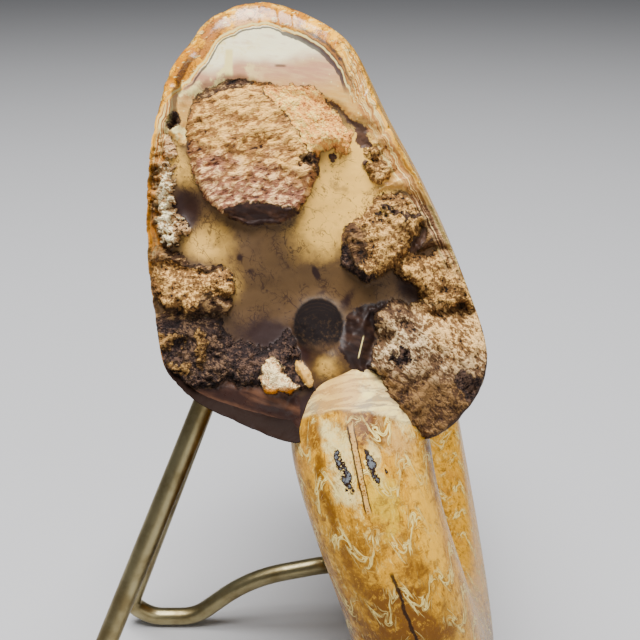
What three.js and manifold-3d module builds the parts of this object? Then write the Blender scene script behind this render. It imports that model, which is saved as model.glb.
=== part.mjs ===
// A polished ammonite standing upright against a bent brass wire easel.
// Millimetres, +Z up. Origin: on the standing surface, under the middle of the whole object.
import * as THREE from "three";
import { mergeVertices } from "three/addons/utils/BufferGeometryUtils.js";
import Module from "manifold-3d";

const wasm = await Module();
wasm.setup();

const DEG = Math.PI / 180;

// ---------------------------------------------------------------- driving dimensions
const COIL_CENTRE = new THREE.Vector3(14.4, -9.0, 42.15); // middle of the umbilicus
const LEAN = 15; // the coil leans this far towards -X
const TURN = 2; // and is turned this far about the vertical
const GROWTH = 2.29; // growth of every radius over one turn
const KEEL_RADIUS = 31.0; // keel radius of the last whorl but one ...
const KEEL_ANGLE = 38; // ... at this coil angle (0 = coil up, growing towards the front)
const TURNS = 3.4; // whorls kept, counted back from the break
const WHORL_WIDTH_YOUNG = 0.24; // half width of the inner whorls, as a share of the keel radius
const WHORL_CENTRE = 0.68; // height of a section's middle, as a share of the keel radius

const FACE_CENTRE = new THREE.Vector3(5.4, -25.7, 70.95); // reference point of the broken face
const FACE_TILT = 22; // the broken face looks up by this angle

const WIRE_DIAMETER = 3.0;
const WIRE_SIDES = 8;
const WIRE_ROLL = 9.73; // turns the section so that a flat of the wire lies on the floor

const RING = 36; // points round a whorl
const STEP = 11; // degrees of coil between rings
const BLEND = 50; // degrees over which the last whorl takes the shape of the break

// ---------------------------------------------------------------- frames
const turn = new THREE.Matrix4().makeRotationZ(-TURN * DEG);
const AXIS = new THREE.Vector3(Math.cos(LEAN * DEG), 0, Math.sin(LEAN * DEG)).applyMatrix4(turn);
const UP = new THREE.Vector3(-Math.sin(LEAN * DEG), 0, Math.cos(LEAN * DEG)).applyMatrix4(turn);
const BACK = new THREE.Vector3(0, 1, 0).applyMatrix4(turn);

const FACE_X = new THREE.Vector3(1, 0, 0);
const FACE_Y = new THREE.Vector3(0, Math.sin(FACE_TILT * DEG), Math.cos(FACE_TILT * DEG));
const FACE_N = new THREE.Vector3(0, -Math.cos(FACE_TILT * DEG), Math.sin(FACE_TILT * DEG));

// keel radius at a growth angle (the last whorl is the coil angle plus 360)
const keel = (theta) => KEEL_RADIUS * GROWTH ** ((theta - KEEL_ANGLE) / 360);

// a point at distance rho from the coil axis, coil angle theta, and u along the axis
function coilPoint(u, rho, theta) {
  return COIL_CENTRE.clone()
    .addScaledVector(AXIS, u)
    .addScaledVector(UP, rho * Math.cos(theta * DEG))
    .addScaledVector(BACK, -rho * Math.sin(theta * DEG));
}

// a point on the broken face: x right, y up the face, n out of it
function facePoint(x, y, n = 0) {
  return FACE_CENTRE.clone()
    .addScaledVector(FACE_X, x)
    .addScaledVector(FACE_Y, y)
    .addScaledVector(FACE_N, n);
}

// ---------------------------------------------------------------- whorl sections
// right half of a grown whorl: (u, rho) in keel radii, keel first, seam last
const GROWN_HALF = [
  [0.0, 1.0], [0.085, 0.982], [0.15, 0.925], [0.19, 0.85], [0.222, 0.7], [0.252, 0.56],
  [0.268, 0.485], [0.26, 0.435], [0.228, 0.4], [0.17, 0.378], [0.115, 0.368], [0.0, 0.35],
];
// the outline of the break, in millimetres on the face, from the keel down the right side
// and back up the left side
const BREAK_OUTLINE = [
  [-7.5, 38.5], [-1.1, 36.6], [3.7, 33.2], [7.9, 24.4], [13.3, 14.5], [17.8, 4.2],
  [20.1, -3.0], [20.2, -6.6], [18.7, -9.6], [16.4, -12.4], [12.6, -14.4], [7.5, -13.0],
  [2.0, -12.8], [-3.0, -14.9], [-9.6, -12.6], [-15.7, -9.4], [-18.7, -6.0], [-19.7, -1.8],
  [-20.7, 4.8], [-21.1, 13.3], [-20.5, 21.7], [-18.9, 29.2], [-16.9, 32.6], [-13.6, 36.5],
];

// radius of a closed outline seen from the section's middle, for RING even directions
function radial(points) {
  const curve = new THREE.CatmullRomCurve3(
    points.map(([u, r]) => new THREE.Vector3(u, r - WHORL_CENTRE, 0)), true, "centripetal");
  const dense = curve.getPoints(1440).map((p) => [Math.atan2(p.x, p.y), Math.hypot(p.x, p.y)]);
  return (phi) => {
    let best = 0;
    let gap = 10;
    for (const [a, r] of dense) {
      let d = Math.abs(a - phi);
      if (d > Math.PI) d = 2 * Math.PI - d;
      if (d < gap) [gap, best] = [d, r];
    }
    return best;
  };
}

const grown = radial([
  ...GROWN_HALF,
  ...GROWN_HALF.slice(1, -1).reverse().map(([u, r]) => [-u, r]),
]);
const young = radial(Array.from({ length: 24 }, (_, i) => {
  const a = (i / 24) * 2 * Math.PI;
  return [WHORL_WIDTH_YOUNG * Math.sin(a), 0.715 + 0.285 * Math.cos(a)];
}));

// the break outline expressed in keel radii
const broken = radial(BREAK_OUTLINE.map(([x, y]) => {
  const w = facePoint(x, y).sub(COIL_CENTRE);
  const up = w.dot(UP);
  const front = -w.dot(BACK);
  const R = keel(Math.atan2(front, up) / DEG + 360);
  return [w.dot(AXIS) / R, Math.hypot(up, front) / R];
}));

const PHI = Array.from({ length: RING }, (_, i) => {
  let a = (i / RING) * 2 * Math.PI;
  if (a > Math.PI) a -= 2 * Math.PI;
  return a;
});
const tables = [young, grown, broken].map((f) => PHI.map(f));

// section point i at growth angle theta; g = how grown, b = how far into the break outline
function sectionPoint(i, theta, b, shrink = 1) {
  const g = THREE.MathUtils.clamp((theta - KEEL_ANGLE - 60) / 300, 0, 1);
  const r = THREE.MathUtils.lerp(THREE.MathUtils.lerp(tables[0][i], tables[1][i], g), tables[2][i], b) * shrink;
  const R = keel(theta);
  return coilPoint(r * Math.sin(PHI[i]) * R, (WHORL_CENTRE + r * Math.cos(PHI[i])) * R, theta);
}

// the polished top edge is rounded back from the face by this much, in millimetres
const setback = (y) => 2.8 * THREE.MathUtils.smoothstep(y, 18, 38);

// growth angle at which section point i meets the rim of the break
const END = PHI.map((_, i) => {
  let lo = 330;
  let hi = 440;
  for (let k = 0; k < 50; k++) {
    const mid = (lo + hi) / 2;
    const w = sectionPoint(i, mid, 1).sub(FACE_CENTRE);
    if (w.dot(FACE_N) + setback(w.dot(FACE_Y)) > 0) hi = mid;
    else lo = mid;
  }
  return lo;
});

// ---------------------------------------------------------------- solids
function solid(positions, faces) {
  return new wasm.Manifold(new wasm.Mesh({
    numProp: 3,
    vertProperties: new Float32Array(positions.flatMap((p) => [p.x, p.y, p.z])),
    triVerts: new Uint32Array(faces.flat()),
  }));
}

// a closed loft through rings of equal length, its ends closed by fans or by extra rings
function loft(rings, endPoint, startPoint) {
  const n = rings[0].length;
  const points = rings.flat();
  const faces = [];
  for (let k = 0; k + 1 < rings.length; k++) {
    for (let i = 0; i < n; i++) {
      const a = k * n + i;
      const b = k * n + ((i + 1) % n);
      faces.push([a, b + n, b], [a, a + n, b + n]);
    }
  }
  const s = points.push(startPoint) - 1;
  const e = points.push(endPoint) - 1;
  const last = (rings.length - 1) * n;
  for (let i = 0; i < n; i++) {
    faces.push([s, i, (i + 1) % n], [e, last + ((i + 1) % n), last + i]);
  }
  return solid(points, faces);
}

const middle = (theta) => coilPoint(0, WHORL_CENTRE * keel(theta), theta);
const ringAt = (theta, shrink = 1, every = 1) =>
  PHI.map((_, i) => i).filter((i) => i % every === 0).map((i) => sectionPoint(i, theta, 0, shrink));

// relief of the broken face, in millimetres out of its plane
function relief(x, y) {
  const bump = (cx, cy, rx, ry, h, p = 2) =>
    h * Math.exp(-((((x - cx) / rx) ** 2 + ((y - cy) / ry) ** 2) ** (p / 2)));
  return -0.5 - 0.6 * THREE.MathUtils.smoothstep(y, -12, -4)
    + bump(-8.0, 20.5, 7.4, 8.2, 4.2, 6) // rough round plug
    + bump(-15.5, 4.5, 5.0, 3.8, 2.2, 4) // left block
    + bump(7.6, 10.5, 5.0, 4.6, 2.2, 4) // right block
    + bump(12.0, -4.5, 8.5, 6.5, 2.6, 4) // lower right lobe
    + bump(-10.5, -7.0, 7.5, 4.5, 1.4, 4) // lower left matrix
    + bump(0.0, -0.6, 3.0, 3.0, 1.6, 4) // knob
    - bump(1.5, 9.0, 4.5, 9.0, 1.4) // smooth hollow of the septum
    - bump(5.2, 20.5, 1.4, 3.2, 1.8); // cleft
}

// last whorl: regular rings, then rings that blend into the break, then the relief
const start = 360 - BLEND + 4;
const lastRings = [];
const turnRings = (from, to, every = 1) => {
  const count = Math.max(2, Math.round((to - from) / STEP));
  return Array.from({ length: count + 1 }, (_, k) => ringAt(from + ((to - from) * k) / count, 1, every));
};
lastRings.push(...turnRings(start - 270, start));
const BLEND_RINGS = 7;
for (let k = 1; k <= BLEND_RINGS; k++) {
  const s = k / BLEND_RINGS;
  const b = s * s * (3 - 2 * s);
  lastRings.push(PHI.map((_, i) => sectionPoint(i, start + (END[i] - start) * s, b)));
}
const rim = lastRings.at(-1).map((p) => {
  const w = p.clone().sub(FACE_CENTRE);
  return [w.dot(FACE_X), w.dot(FACE_Y)];
});
const FACE_HUB = [-1.0, 12.5];
for (const s of [0.95, 0.87, 0.78, 0.68, 0.57, 0.45, 0.33, 0.2, 0.08]) {
  lastRings.push(rim.map(([x, y]) => {
    const px = FACE_HUB[0] + (x - FACE_HUB[0]) * s;
    const py = FACE_HUB[1] + (y - FACE_HUB[1]) * s;
    return facePoint(px, py, relief(px, py));
  }));
}
let shell = loft(lastRings, facePoint(...FACE_HUB, relief(...FACE_HUB)), middle(start - 270));

// the whorls inside it, each shorter than a turn, and each keyed into the next
let to = start - 270;
const first = start - 360 * (TURNS - 1);
for (let every = 1; to > first; every = 2) {
  const from = Math.max(first, to - 330);
  const rings = turnRings(from, to, every);
  rings.push(ringAt(to + 4, 0.9, every));
  shell = shell.add(loft(rings, middle(to + 4), middle(from)));
  to = from;
}
// the first chamber closes the middle of the umbilicus
const seedGeometry = new THREE.SphereGeometry(1, 16, 10);
seedGeometry.scale(0.9 * keel(first) * WHORL_WIDTH_YOUNG, 0.95 * keel(first), 0.95 * keel(first));
const place = new THREE.Matrix4().makeBasis(AXIS, BACK, UP).setPosition(COIL_CENTRE);
seedGeometry.applyMatrix4(place);
seedGeometry.deleteAttribute("normal");
seedGeometry.deleteAttribute("uv");
const seedMerged = mergeVertices(seedGeometry, 1e-4);
const seed = new wasm.Manifold(new wasm.Mesh({
  numProp: 3,
  vertProperties: new Float32Array(seedMerged.attributes.position.array),
  triVerts: new Uint32Array(seedMerged.index.array),
}));
shell = shell.add(seed);

function toGeometry(manifold) {
  const { vertProperties, triVerts } = manifold.getMesh();
  const geometry = new THREE.BufferGeometry();
  geometry.setAttribute("position", new THREE.BufferAttribute(new Float32Array(vertProperties), 3));
  geometry.setIndex(new THREE.BufferAttribute(new Uint32Array(triVerts), 1));
  return geometry;
}

// welds vertices closer than the tolerance and keeps the one body that matters
function welded(manifold, tolerance) {
  const g = mergeVertices(toGeometry(manifold), tolerance);
  const bodies = new wasm.Manifold(new wasm.Mesh({
    numProp: 3,
    vertProperties: new Float32Array(g.attributes.position.array),
    triVerts: new Uint32Array(g.index.array),
  })).decompose();
  return bodies.reduce((best, b) => (b.volume() > best.volume() ? b : best));
}
shell = welded(welded(shell, 4e-3), 4e-3);

const shellGeometry = toGeometry(shell);
shellGeometry.computeVertexNormals();
const ammonite = new THREE.Mesh(
  shellGeometry,
  new THREE.MeshStandardMaterial({ color: 0xb98a4e, roughness: 0.35, metalness: 0 }),
);
ammonite.name = "ammonite";

// ---------------------------------------------------------------- the wire easel
// one bent wire: front hook, front foot, arm, back foot, strut, rounded top, and the same
// again on the near side, with a short upright post on each arm against the shell's flank
const R = WIRE_DIAMETER / 2;
const V = (x, y, z) => new THREE.Vector3(x, y, z);
const WIRE_CORNERS = [
  [V(31.4, 16.2, 6.4), 0], // tip of the far front hook
  [V(29.6, 16.0, R + 0.13), 2.2],
  [V(18.0, 16.0, R + 0.13), 3], // far front foot
  [V(12.2, 13.6, 7.0), 3],
  [V(7.0, 7.4, 12.6), 3], // foot of the far post
  [V(-6.6, 7.4, 9.6), 10],
  [V(-16.4, 7.4, R + 0.1), 2.6], // far back foot, front end of its flat
  [V(-23.8, 7.4, R + 0.1), 1.8], // far back foot, back end of its flat
  [V(-27.6, 7.4, 4.2), 2.0], // toe of the far back foot
  [V(-6.1, -3.0, 63.1), 4.6], // top, far side
  [V(-6.6, -11.5, 63.1), 4.6], // top, near side
  [V(-32.03, -30.4, 4.2), 2.0], // toe of the near back foot
  [V(-28.6, -30.4, R), 1.8], // near back foot, back end of its flat
  [V(-21.0, -30.4, R), 2.6], // near back foot, front end of its flat
  [V(-9.4, -30.4, 9.6), 10],
  [V(6.2, -30.4, 12.6), 3], // foot of the near post
  [V(12.0, -30.0, 8.2), 3],
  [V(17.2, -29.6, R + 0.13), 3], // near front foot
  [V(28.6, -29.0, R + 0.13), 2.2],
  [V(30.4, -29.0, 6.6), 0], // tip of the near front hook
];
const POSTS = [
  [V(7.1, 7.4, 12.0), V(7.5, 7.4, 24.0)],
  [V(6.4, -30.4, 12.0), V(7.1, -30.4, 24.0)],
];

// straight runs joined by bends that keep clear of the corners
const wirePath = new THREE.CurvePath();
let from = WIRE_CORNERS[0][0];
for (let i = 1; i + 1 < WIRE_CORNERS.length; i++) {
  const [corner, bend] = WIRE_CORNERS[i];
  const before = WIRE_CORNERS[i - 1][0].clone().sub(corner);
  const after = WIRE_CORNERS[i + 1][0].clone().sub(corner);
  const reach = Math.min(bend, before.length() * 0.47, after.length() * 0.47);
  const a = corner.clone().addScaledVector(before.normalize(), reach);
  const b = corner.clone().addScaledVector(after.normalize(), reach);
  wirePath.add(new THREE.LineCurve3(from, a));
  wirePath.add(new THREE.QuadraticBezierCurve3(a, corner, b));
  from = b;
}
wirePath.add(new THREE.LineCurve3(from, WIRE_CORNERS.at(-1)[0]));

const wireSection = (roll) => new THREE.Shape(Array.from({ length: WIRE_SIDES }, (_, i) => {
  const a = ((i + 0.5) / WIRE_SIDES) * 2 * Math.PI + roll * DEG;
  const r = R / Math.cos(Math.PI / WIRE_SIDES);
  return new THREE.Vector2(r * Math.cos(a), r * Math.sin(a));
}));
function extruded(path, steps, roll = 0) {
  const g = new THREE.ExtrudeGeometry(wireSection(roll), { steps, extrudePath: path, bevelEnabled: false });
  g.deleteAttribute("normal");
  g.deleteAttribute("uv");
  const merged = mergeVertices(g, 1e-4);
  return new wasm.Manifold(new wasm.Mesh({
    numProp: 3,
    vertProperties: new Float32Array(merged.attributes.position.array),
    triVerts: new Uint32Array(merged.index.array),
  }));
}
let wire = extruded(wirePath, 168, WIRE_ROLL);
for (const [foot, tip] of POSTS) wire = wire.add(extruded(new THREE.LineCurve3(foot, tip), 2));
wire = welded(wire, 2e-3);
const wireGeometry = toGeometry(wire);
wireGeometry.computeVertexNormals();
const easel = new THREE.Mesh(
  wireGeometry,
  new THREE.MeshStandardMaterial({ color: 0xc8b878, roughness: 0.25, metalness: 1 }),
);
easel.name = "wire_easel";

const group = new THREE.Group();
group.name = "polished_ammonite_on_easel";
group.add(ammonite, easel);

export default group;
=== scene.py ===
"""A polished ammonite that leans on a small brass wire easel.

The shell is one closed surface: a spiral tube whose section is worked out at every coil
angle, closed by a broken end with its own relief. The easel is one round wire carried
along a bent path. All lengths in the dimensions below are millimetres, in the row frame,
and become metres when a mesh is written.
"""

from __future__ import annotations

import logging
import math
from dataclasses import dataclass, field
from enum import Enum

import bpy
import numpy as np
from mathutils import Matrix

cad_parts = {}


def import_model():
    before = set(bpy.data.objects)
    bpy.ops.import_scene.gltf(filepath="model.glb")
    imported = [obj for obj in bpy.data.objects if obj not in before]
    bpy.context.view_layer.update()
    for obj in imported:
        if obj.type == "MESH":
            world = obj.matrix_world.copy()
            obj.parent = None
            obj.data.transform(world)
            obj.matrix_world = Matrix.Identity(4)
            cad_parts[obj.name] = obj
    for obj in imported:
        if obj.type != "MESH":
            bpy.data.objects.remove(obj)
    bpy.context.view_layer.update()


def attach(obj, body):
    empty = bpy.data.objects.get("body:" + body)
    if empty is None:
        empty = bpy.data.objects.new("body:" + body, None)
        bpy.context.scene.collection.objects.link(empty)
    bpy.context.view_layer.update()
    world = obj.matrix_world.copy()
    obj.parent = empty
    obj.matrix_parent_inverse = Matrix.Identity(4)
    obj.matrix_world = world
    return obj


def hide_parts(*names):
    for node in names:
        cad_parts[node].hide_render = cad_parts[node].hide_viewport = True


log = logging.getLogger("ammonite")

Array = np.ndarray
Outline = tuple[tuple[float, float], ...]
Shade = tuple[float, float, float]

MM = 0.001
FAR = 4.0  # millimetres past which a distance to an outline counts as no nearer


# ---- small mathematics
def smoothstep(x: Array | float, low: float, high: float) -> Array:
    """Rises from 0, where x is low, to 1, where x is high, as 3t^2 - 2t^3."""
    t = np.clip((np.asarray(x, dtype=float) - low) / (high - low), 0.0, 1.0)
    return t * t * (3.0 - 2.0 * t)


def lerp(a: Array | float, b: Array | float, t: Array | float) -> Array:
    """Goes straight from a, at t 0, to b, at t 1."""
    return a + (b - a) * t


def unit(v: Array) -> Array:
    """The vectors of v, each divided by its length."""
    return v / np.maximum(np.linalg.norm(v, axis=-1, keepdims=True), 1e-12)


def placed(start: tuple[float, float, float], axes: tuple[Array, ...], *parts: Array | float) -> Array:
    """The points reached from start by going each part along its own axis."""
    pairs = zip(np.broadcast_arrays(*parts), axes)
    return sum((part[..., None] * axis for part, axis in pairs), np.array(start))


def closed_curve(points: Array, per_side: int) -> Array:
    """A smooth closed curve through points.

    Each side is a cubic whose end slopes come from the neighbouring sides, weighed by the
    square roots of their lengths (a centripetal Catmull-Rom curve).

    Args:
        points: the corners, one row each, not repeated at the end.
        per_side: how many samples each side gets.

    Returns:
        The samples, one row each, len(points) * per_side of them.
    """
    p1 = np.asarray(points, dtype=float)
    p0, p2, p3 = (np.roll(p1, k, axis=0) for k in (1, -1, -2))
    d0, d1, d2 = (
        np.linalg.norm(b - a, axis=1, keepdims=True) ** 0.5 for a, b in ((p0, p1), (p1, p2), (p2, p3))
    )
    m1 = d1 * ((p1 - p0) / d0 - (p2 - p0) / (d0 + d1) + (p2 - p1) / d1)
    m2 = d1 * ((p2 - p1) / d1 - (p3 - p1) / (d1 + d2) + (p3 - p2) / d2)
    t = (np.arange(per_side) / per_side)[None, :, None]
    a, b = (p1 - p2)[:, None] * 2 + (m1 + m2)[:, None], (p2 - p1)[:, None] * 3 - (2 * m1 + m2)[:, None]
    curve = ((a * t + b) * t + m1[:, None]) * t + p1[:, None]
    return curve.reshape(-1, p1.shape[1])


def disc_grid(n: int) -> tuple[Array, Array]:
    """A square grid carried to a disc, square by square, so that its edge has even steps.

    A grid point's larger coordinate is its share of the way out, and the other over it, times
    45 degrees, its direction from the nearest side's middle.

    Args:
        n: cells on a side.

    Returns:
        Each point's share of the way to the rim, and its direction, 0 at the top.
    """
    g = np.linspace(-1, 1, n + 1)
    a, b = (v.ravel() for v in np.meshgrid(g, g, indexing="xy"))
    wide = np.abs(a) >= np.abs(b)
    safe_a, safe_b = np.where(a == 0, 1e-9, a), np.where(b == 0, 1e-9, b)
    r = np.where(wide, a, b)
    psi = np.where(wide, np.pi / 4 * b / safe_a, np.pi / 2 - np.pi / 4 * a / safe_b)
    return np.abs(r), np.arctan2(r * np.cos(psi), r * np.sin(psi))


def inside_distance(x: Array, y: Array, outline: Array, reach: float = FAR) -> tuple[Array, Array]:
    """Signed distance to a closed outline, positive inside it, and which way its edge faces.

    The distance is the least one to any side. A point is inside if a ray from it crosses
    the outline an odd number of times. Points beyond reach of the outline's box get -reach.

    Args:
        x: first coordinates, any shape.
        y: second coordinates, the same shape.
        outline: corners, one row each.
        reach: how far outside the distance is worked out.

    Returns:
        The distances, and how fast they grow with y: 1 by a lower edge, -1 by an upper one.
    """
    found, facing = np.full(x.shape, -reach), np.zeros(x.shape)
    low, high = outline.min(axis=0) - reach, outline.max(axis=0) + reach
    near = (x > low[0]) & (x < high[0]) & (y > low[1]) & (y < high[1])
    px, py = x[near][:, None], y[near][:, None]
    ax, ay = outline[:, 0][None], outline[:, 1][None]
    bx, by = np.roll(ax, -1, axis=1), np.roll(ay, -1, axis=1)
    ex, ey = bx - ax, by - ay
    t = np.clip(((px - ax) * ex + (py - ay) * ey) / np.maximum(ex * ex + ey * ey, 1e-12), 0, 1)
    squares = (px - ax - t * ex) ** 2 + (py - ay - t * ey) ** 2
    least = np.sqrt(squares.min(axis=1))
    foot = np.take_along_axis(ay + t * ey, squares.argmin(axis=1)[:, None], axis=1)[:, 0]
    crossed = ((ay > py) != (by > py)) & (px < ax + ex * (py - ay) / np.where(ey == 0, 1e-12, ey))
    sign = np.where(crossed.sum(axis=1) % 2 == 1, 1.0, -1.0)
    found[near] = sign * least
    facing[near] = sign * (py[:, 0] - foot) / np.maximum(least, 1e-6)
    return np.maximum(found, -reach), facing


class Lattice:
    """Seeded noise on a square lattice, worked out for whole arrays of points."""

    def __init__(self, seed: int) -> None:
        """Draws the lattice's shuffled table, and each point's direction, spot and level.

        Args:
            seed: what it is drawn from.
        """
        rng = np.random.default_rng(seed)
        self.table = rng.permutation(256)
        self.angle = rng.random(256) * 2 * np.pi
        self.spot = rng.random((256, 2))
        self.level = rng.random(256)

    def _hash(self, i: Array, j: Array) -> Array:
        """One of 256 numbers for each lattice point (i, j)."""
        return self.table[(self.table[i & 255] + j) & 255]

    def noise(self, x: Array, y: Array) -> Array:
        """Gradient noise: each lattice point has a slope in its own direction, and the four
        around a point are blended with 6t^5 - 15t^4 + 10t^3.

        Args:
            x: first coordinates, in cells.
            y: second coordinates, in cells.

        Returns:
            The noise, about -1 to 1, of the shape of x.
        """
        i, j = np.floor(x).astype(int), np.floor(y).astype(int)
        fx, fy = x - i, y - j

        def corner(di: int, dj: int) -> Array:
            """The slope of one corner, at the point."""
            a = self.angle[self._hash(i + di, j + dj)]
            return np.cos(a) * (fx - di) + np.sin(a) * (fy - dj)

        u, v = (f * f * f * (f * (f * 6 - 15) + 10) for f in (fx, fy))
        return 1.5 * lerp(lerp(corner(0, 0), corner(1, 0), u), lerp(corner(0, 1), corner(1, 1), u), v)

    @staticmethod
    def _octaves(levels: list[Array], gain: float) -> Array:
        """The mean of several levels, each weighing gain times the one before.

        Args:
            levels: what is added up, the widest first.
            gain: how much smaller each is.

        Returns:
            The mean, of the shape of a level.
        """
        total, height, weight = 0.0, 1.0, 0.0
        for level in levels:
            total, weight = total + height * level, weight + height
            height *= gain
        return total / weight

    def cloud(self, x: Array, y: Array, octaves: int = 4, gain: float = 0.5) -> Array:
        """Noise plus noise of half the size and gain times the height, and so on."""
        levels = [self.noise(x * 2**k + 17.3 * k, y * 2**k - 9.1 * k) for k in range(octaves)]
        return self._octaves(levels, gain)

    def ridges(self, x: Array, y: Array, octaves: int = 4, gain: float = 0.55) -> Array:
        """0 to 1, with sharp crests where the noise changes sign: (1 - |noise|)^2, summed."""
        levels = [self.noise(x * 2**k + 5.7 * k, y * 2**k + 3.1 * k) for k in range(octaves)]
        return self._octaves([(1.0 - np.minimum(np.abs(level), 1)) ** 2 for level in levels], gain)

    def facets(self, x: Array, y: Array, steep: float = 0.9, round_off: float = 0.8) -> Array:
        """Lumps of broken rock, about -1 to 1.

        Each cell has a seed with a plane of its own height and tilt. It falls off by
        round_off times the square of the distance, and the highest one shows.

        Args:
            x: first coordinates, in cells.
            y: second coordinates, in cells.
            steep: the slope of the steepest plane.
            round_off: how fast a lump falls off.

        Returns:
            The heights, of the shape of x.
        """
        i, j = np.floor(x).astype(int), np.floor(y).astype(int)
        best = np.full(x.shape, -9.0)
        for di in (-1, 0, 1):
            for dj in (-1, 0, 1):
                h = self._hash(i + di, j + dj)
                dx, dy = x - i - di - self.spot[h, 0], y - j - dj - self.spot[h, 1]
                tilt = steep * self.level[(h * 7 + 3) & 255]
                plane = self.level[h] + tilt * (np.cos(self.angle[h]) * dx + np.sin(self.angle[h]) * dy)
                best = np.maximum(best, plane - round_off * (dx * dx + dy * dy))
        return 2.0 * best - 1.1


# ---- meshes
@dataclass
class Surface:
    """Vertices with quads and triangles, and what rides on them, before it is a mesh."""

    points: Array
    quads: Array
    triangles: Array
    floats: dict[str, Array] = field(default_factory=dict)
    corner_maps: dict[str, Array] = field(default_factory=dict)
    slots: Array | None = None

    def to_object(self, name: str, materials: list[bpy.types.Material]) -> bpy.types.Object:
        """Writes the surface as a smooth-shaded mesh object at the origin.

        Args:
            name: the piece's name.
            materials: what its slots hold, in order.

        Returns:
            The new object, linked to the scene.
        """
        mesh = bpy.data.meshes.new(name)
        quads, triangles = self.quads.reshape(-1, 4), self.triangles.reshape(-1, 3)
        corners = np.concatenate([quads.ravel(), triangles.ravel()]).astype(np.int32)
        starts = np.concatenate([np.arange(len(quads)) * 4, len(quads) * 4 + np.arange(len(triangles)) * 3])
        mesh.vertices.add(len(self.points))
        mesh.vertices.foreach_set("co", (self.points * MM).astype(np.float32).ravel())
        mesh.loops.add(len(corners))
        mesh.loops.foreach_set("vertex_index", corners)
        mesh.polygons.add(len(starts))
        mesh.polygons.foreach_set("loop_start", starts.astype(np.int32))
        mesh.polygons.foreach_set("use_smooth", np.ones(len(starts), dtype=bool))
        if self.slots is not None:
            mesh.polygons.foreach_set("material_index", self.slots.astype(np.int32))
        mesh.update(calc_edges=True)
        for key, values in self.floats.items():
            mesh.attributes.new(key, "FLOAT", "POINT").data.foreach_set("value", values.astype(np.float32))
        for key, values in self.corner_maps.items():
            layer = mesh.uv_layers.new(name=key)
            layer.uv.foreach_set("vector", values.astype(np.float32).ravel())
        mesh.validate()
        made = bpy.data.objects.new(name, mesh)
        bpy.context.scene.collection.objects.link(made)
        for material in materials:
            mesh.materials.append(material)
        return made


# ---- shader building
class Signal:
    """A shader value on which Python's arithmetic adds Math nodes."""

    def __init__(self, graph: Graph, socket: bpy.types.NodeSocket) -> None:
        """Wraps one output socket of a graph."""
        self.graph, self.socket = graph, socket

    def _math(self, operation: str, *terms: Signal | float) -> Signal:
        """One Math node with these terms."""
        return self.graph.node("ShaderNodeMath", {"operation": operation}, dict(enumerate(terms))).value()

    def __add__(self, other: Signal | float) -> Signal:
        """self + other."""
        return self._math("ADD", self, other)

    def __radd__(self, other: float) -> Signal:
        """other + self."""
        return self._math("ADD", other, self)

    def __sub__(self, other: Signal | float) -> Signal:
        """self - other."""
        return self._math("SUBTRACT", self, other)

    def __rsub__(self, other: float) -> Signal:
        """other - self."""
        return self._math("SUBTRACT", other, self)

    def __mul__(self, other: Signal | float) -> Signal:
        """self * other."""
        return self._math("MULTIPLY", self, other)

    def __rmul__(self, other: float) -> Signal:
        """other * self."""
        return self._math("MULTIPLY", other, self)

    def __truediv__(self, other: Signal | float) -> Signal:
        """self / other."""
        return self._math("DIVIDE", self, other)

    def __pow__(self, other: float) -> Signal:
        """self to a power."""
        return self._math("POWER", self, other)

    def __abs__(self) -> Signal:
        """The size of self."""
        return self._math("ABSOLUTE", self)

    def sine(self) -> Signal:
        """The sine of self, in radians."""
        return self._math("SINE", self)

    def cosine(self) -> Signal:
        """The cosine of self, in radians."""
        return self._math("COSINE", self)

    def fraction(self) -> Signal:
        """What is left of self over the whole number below it."""
        return self._math("FRACT", self)

    def most(self, other: Signal | float) -> Signal:
        """The larger of the two."""
        return self._math("MAXIMUM", self, other)

    def step(self, low: float, high: float) -> Signal:
        """Rises smoothly from 0 where self is low to 1 where it is high."""
        sockets = {"Value": self, "From Min": low, "From Max": high}
        return self.graph.node("ShaderNodeMapRange", {"interpolation_type": "SMOOTHSTEP"}, sockets).value()


class Tint:
    """A shader colour or vector, which goes on through Mix or Vector Math only."""

    def __init__(self, socket: bpy.types.NodeSocket) -> None:
        """Wraps one output socket."""
        self.socket = socket


class Made:
    """A node that has just been made, and its outputs as signals or tints."""

    def __init__(self, graph: Graph, node: bpy.types.Node) -> None:
        """Keeps the node and the graph it is in."""
        self.graph, self.node = graph, node

    def value(self, output: int | str = 0) -> Signal:
        """One output, as a number."""
        return Signal(self.graph, self.node.outputs[output])

    def tint(self, output: int | str = 0) -> Tint:
        """One output, as a colour or vector."""
        return Tint(self.node.outputs[output])


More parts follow.
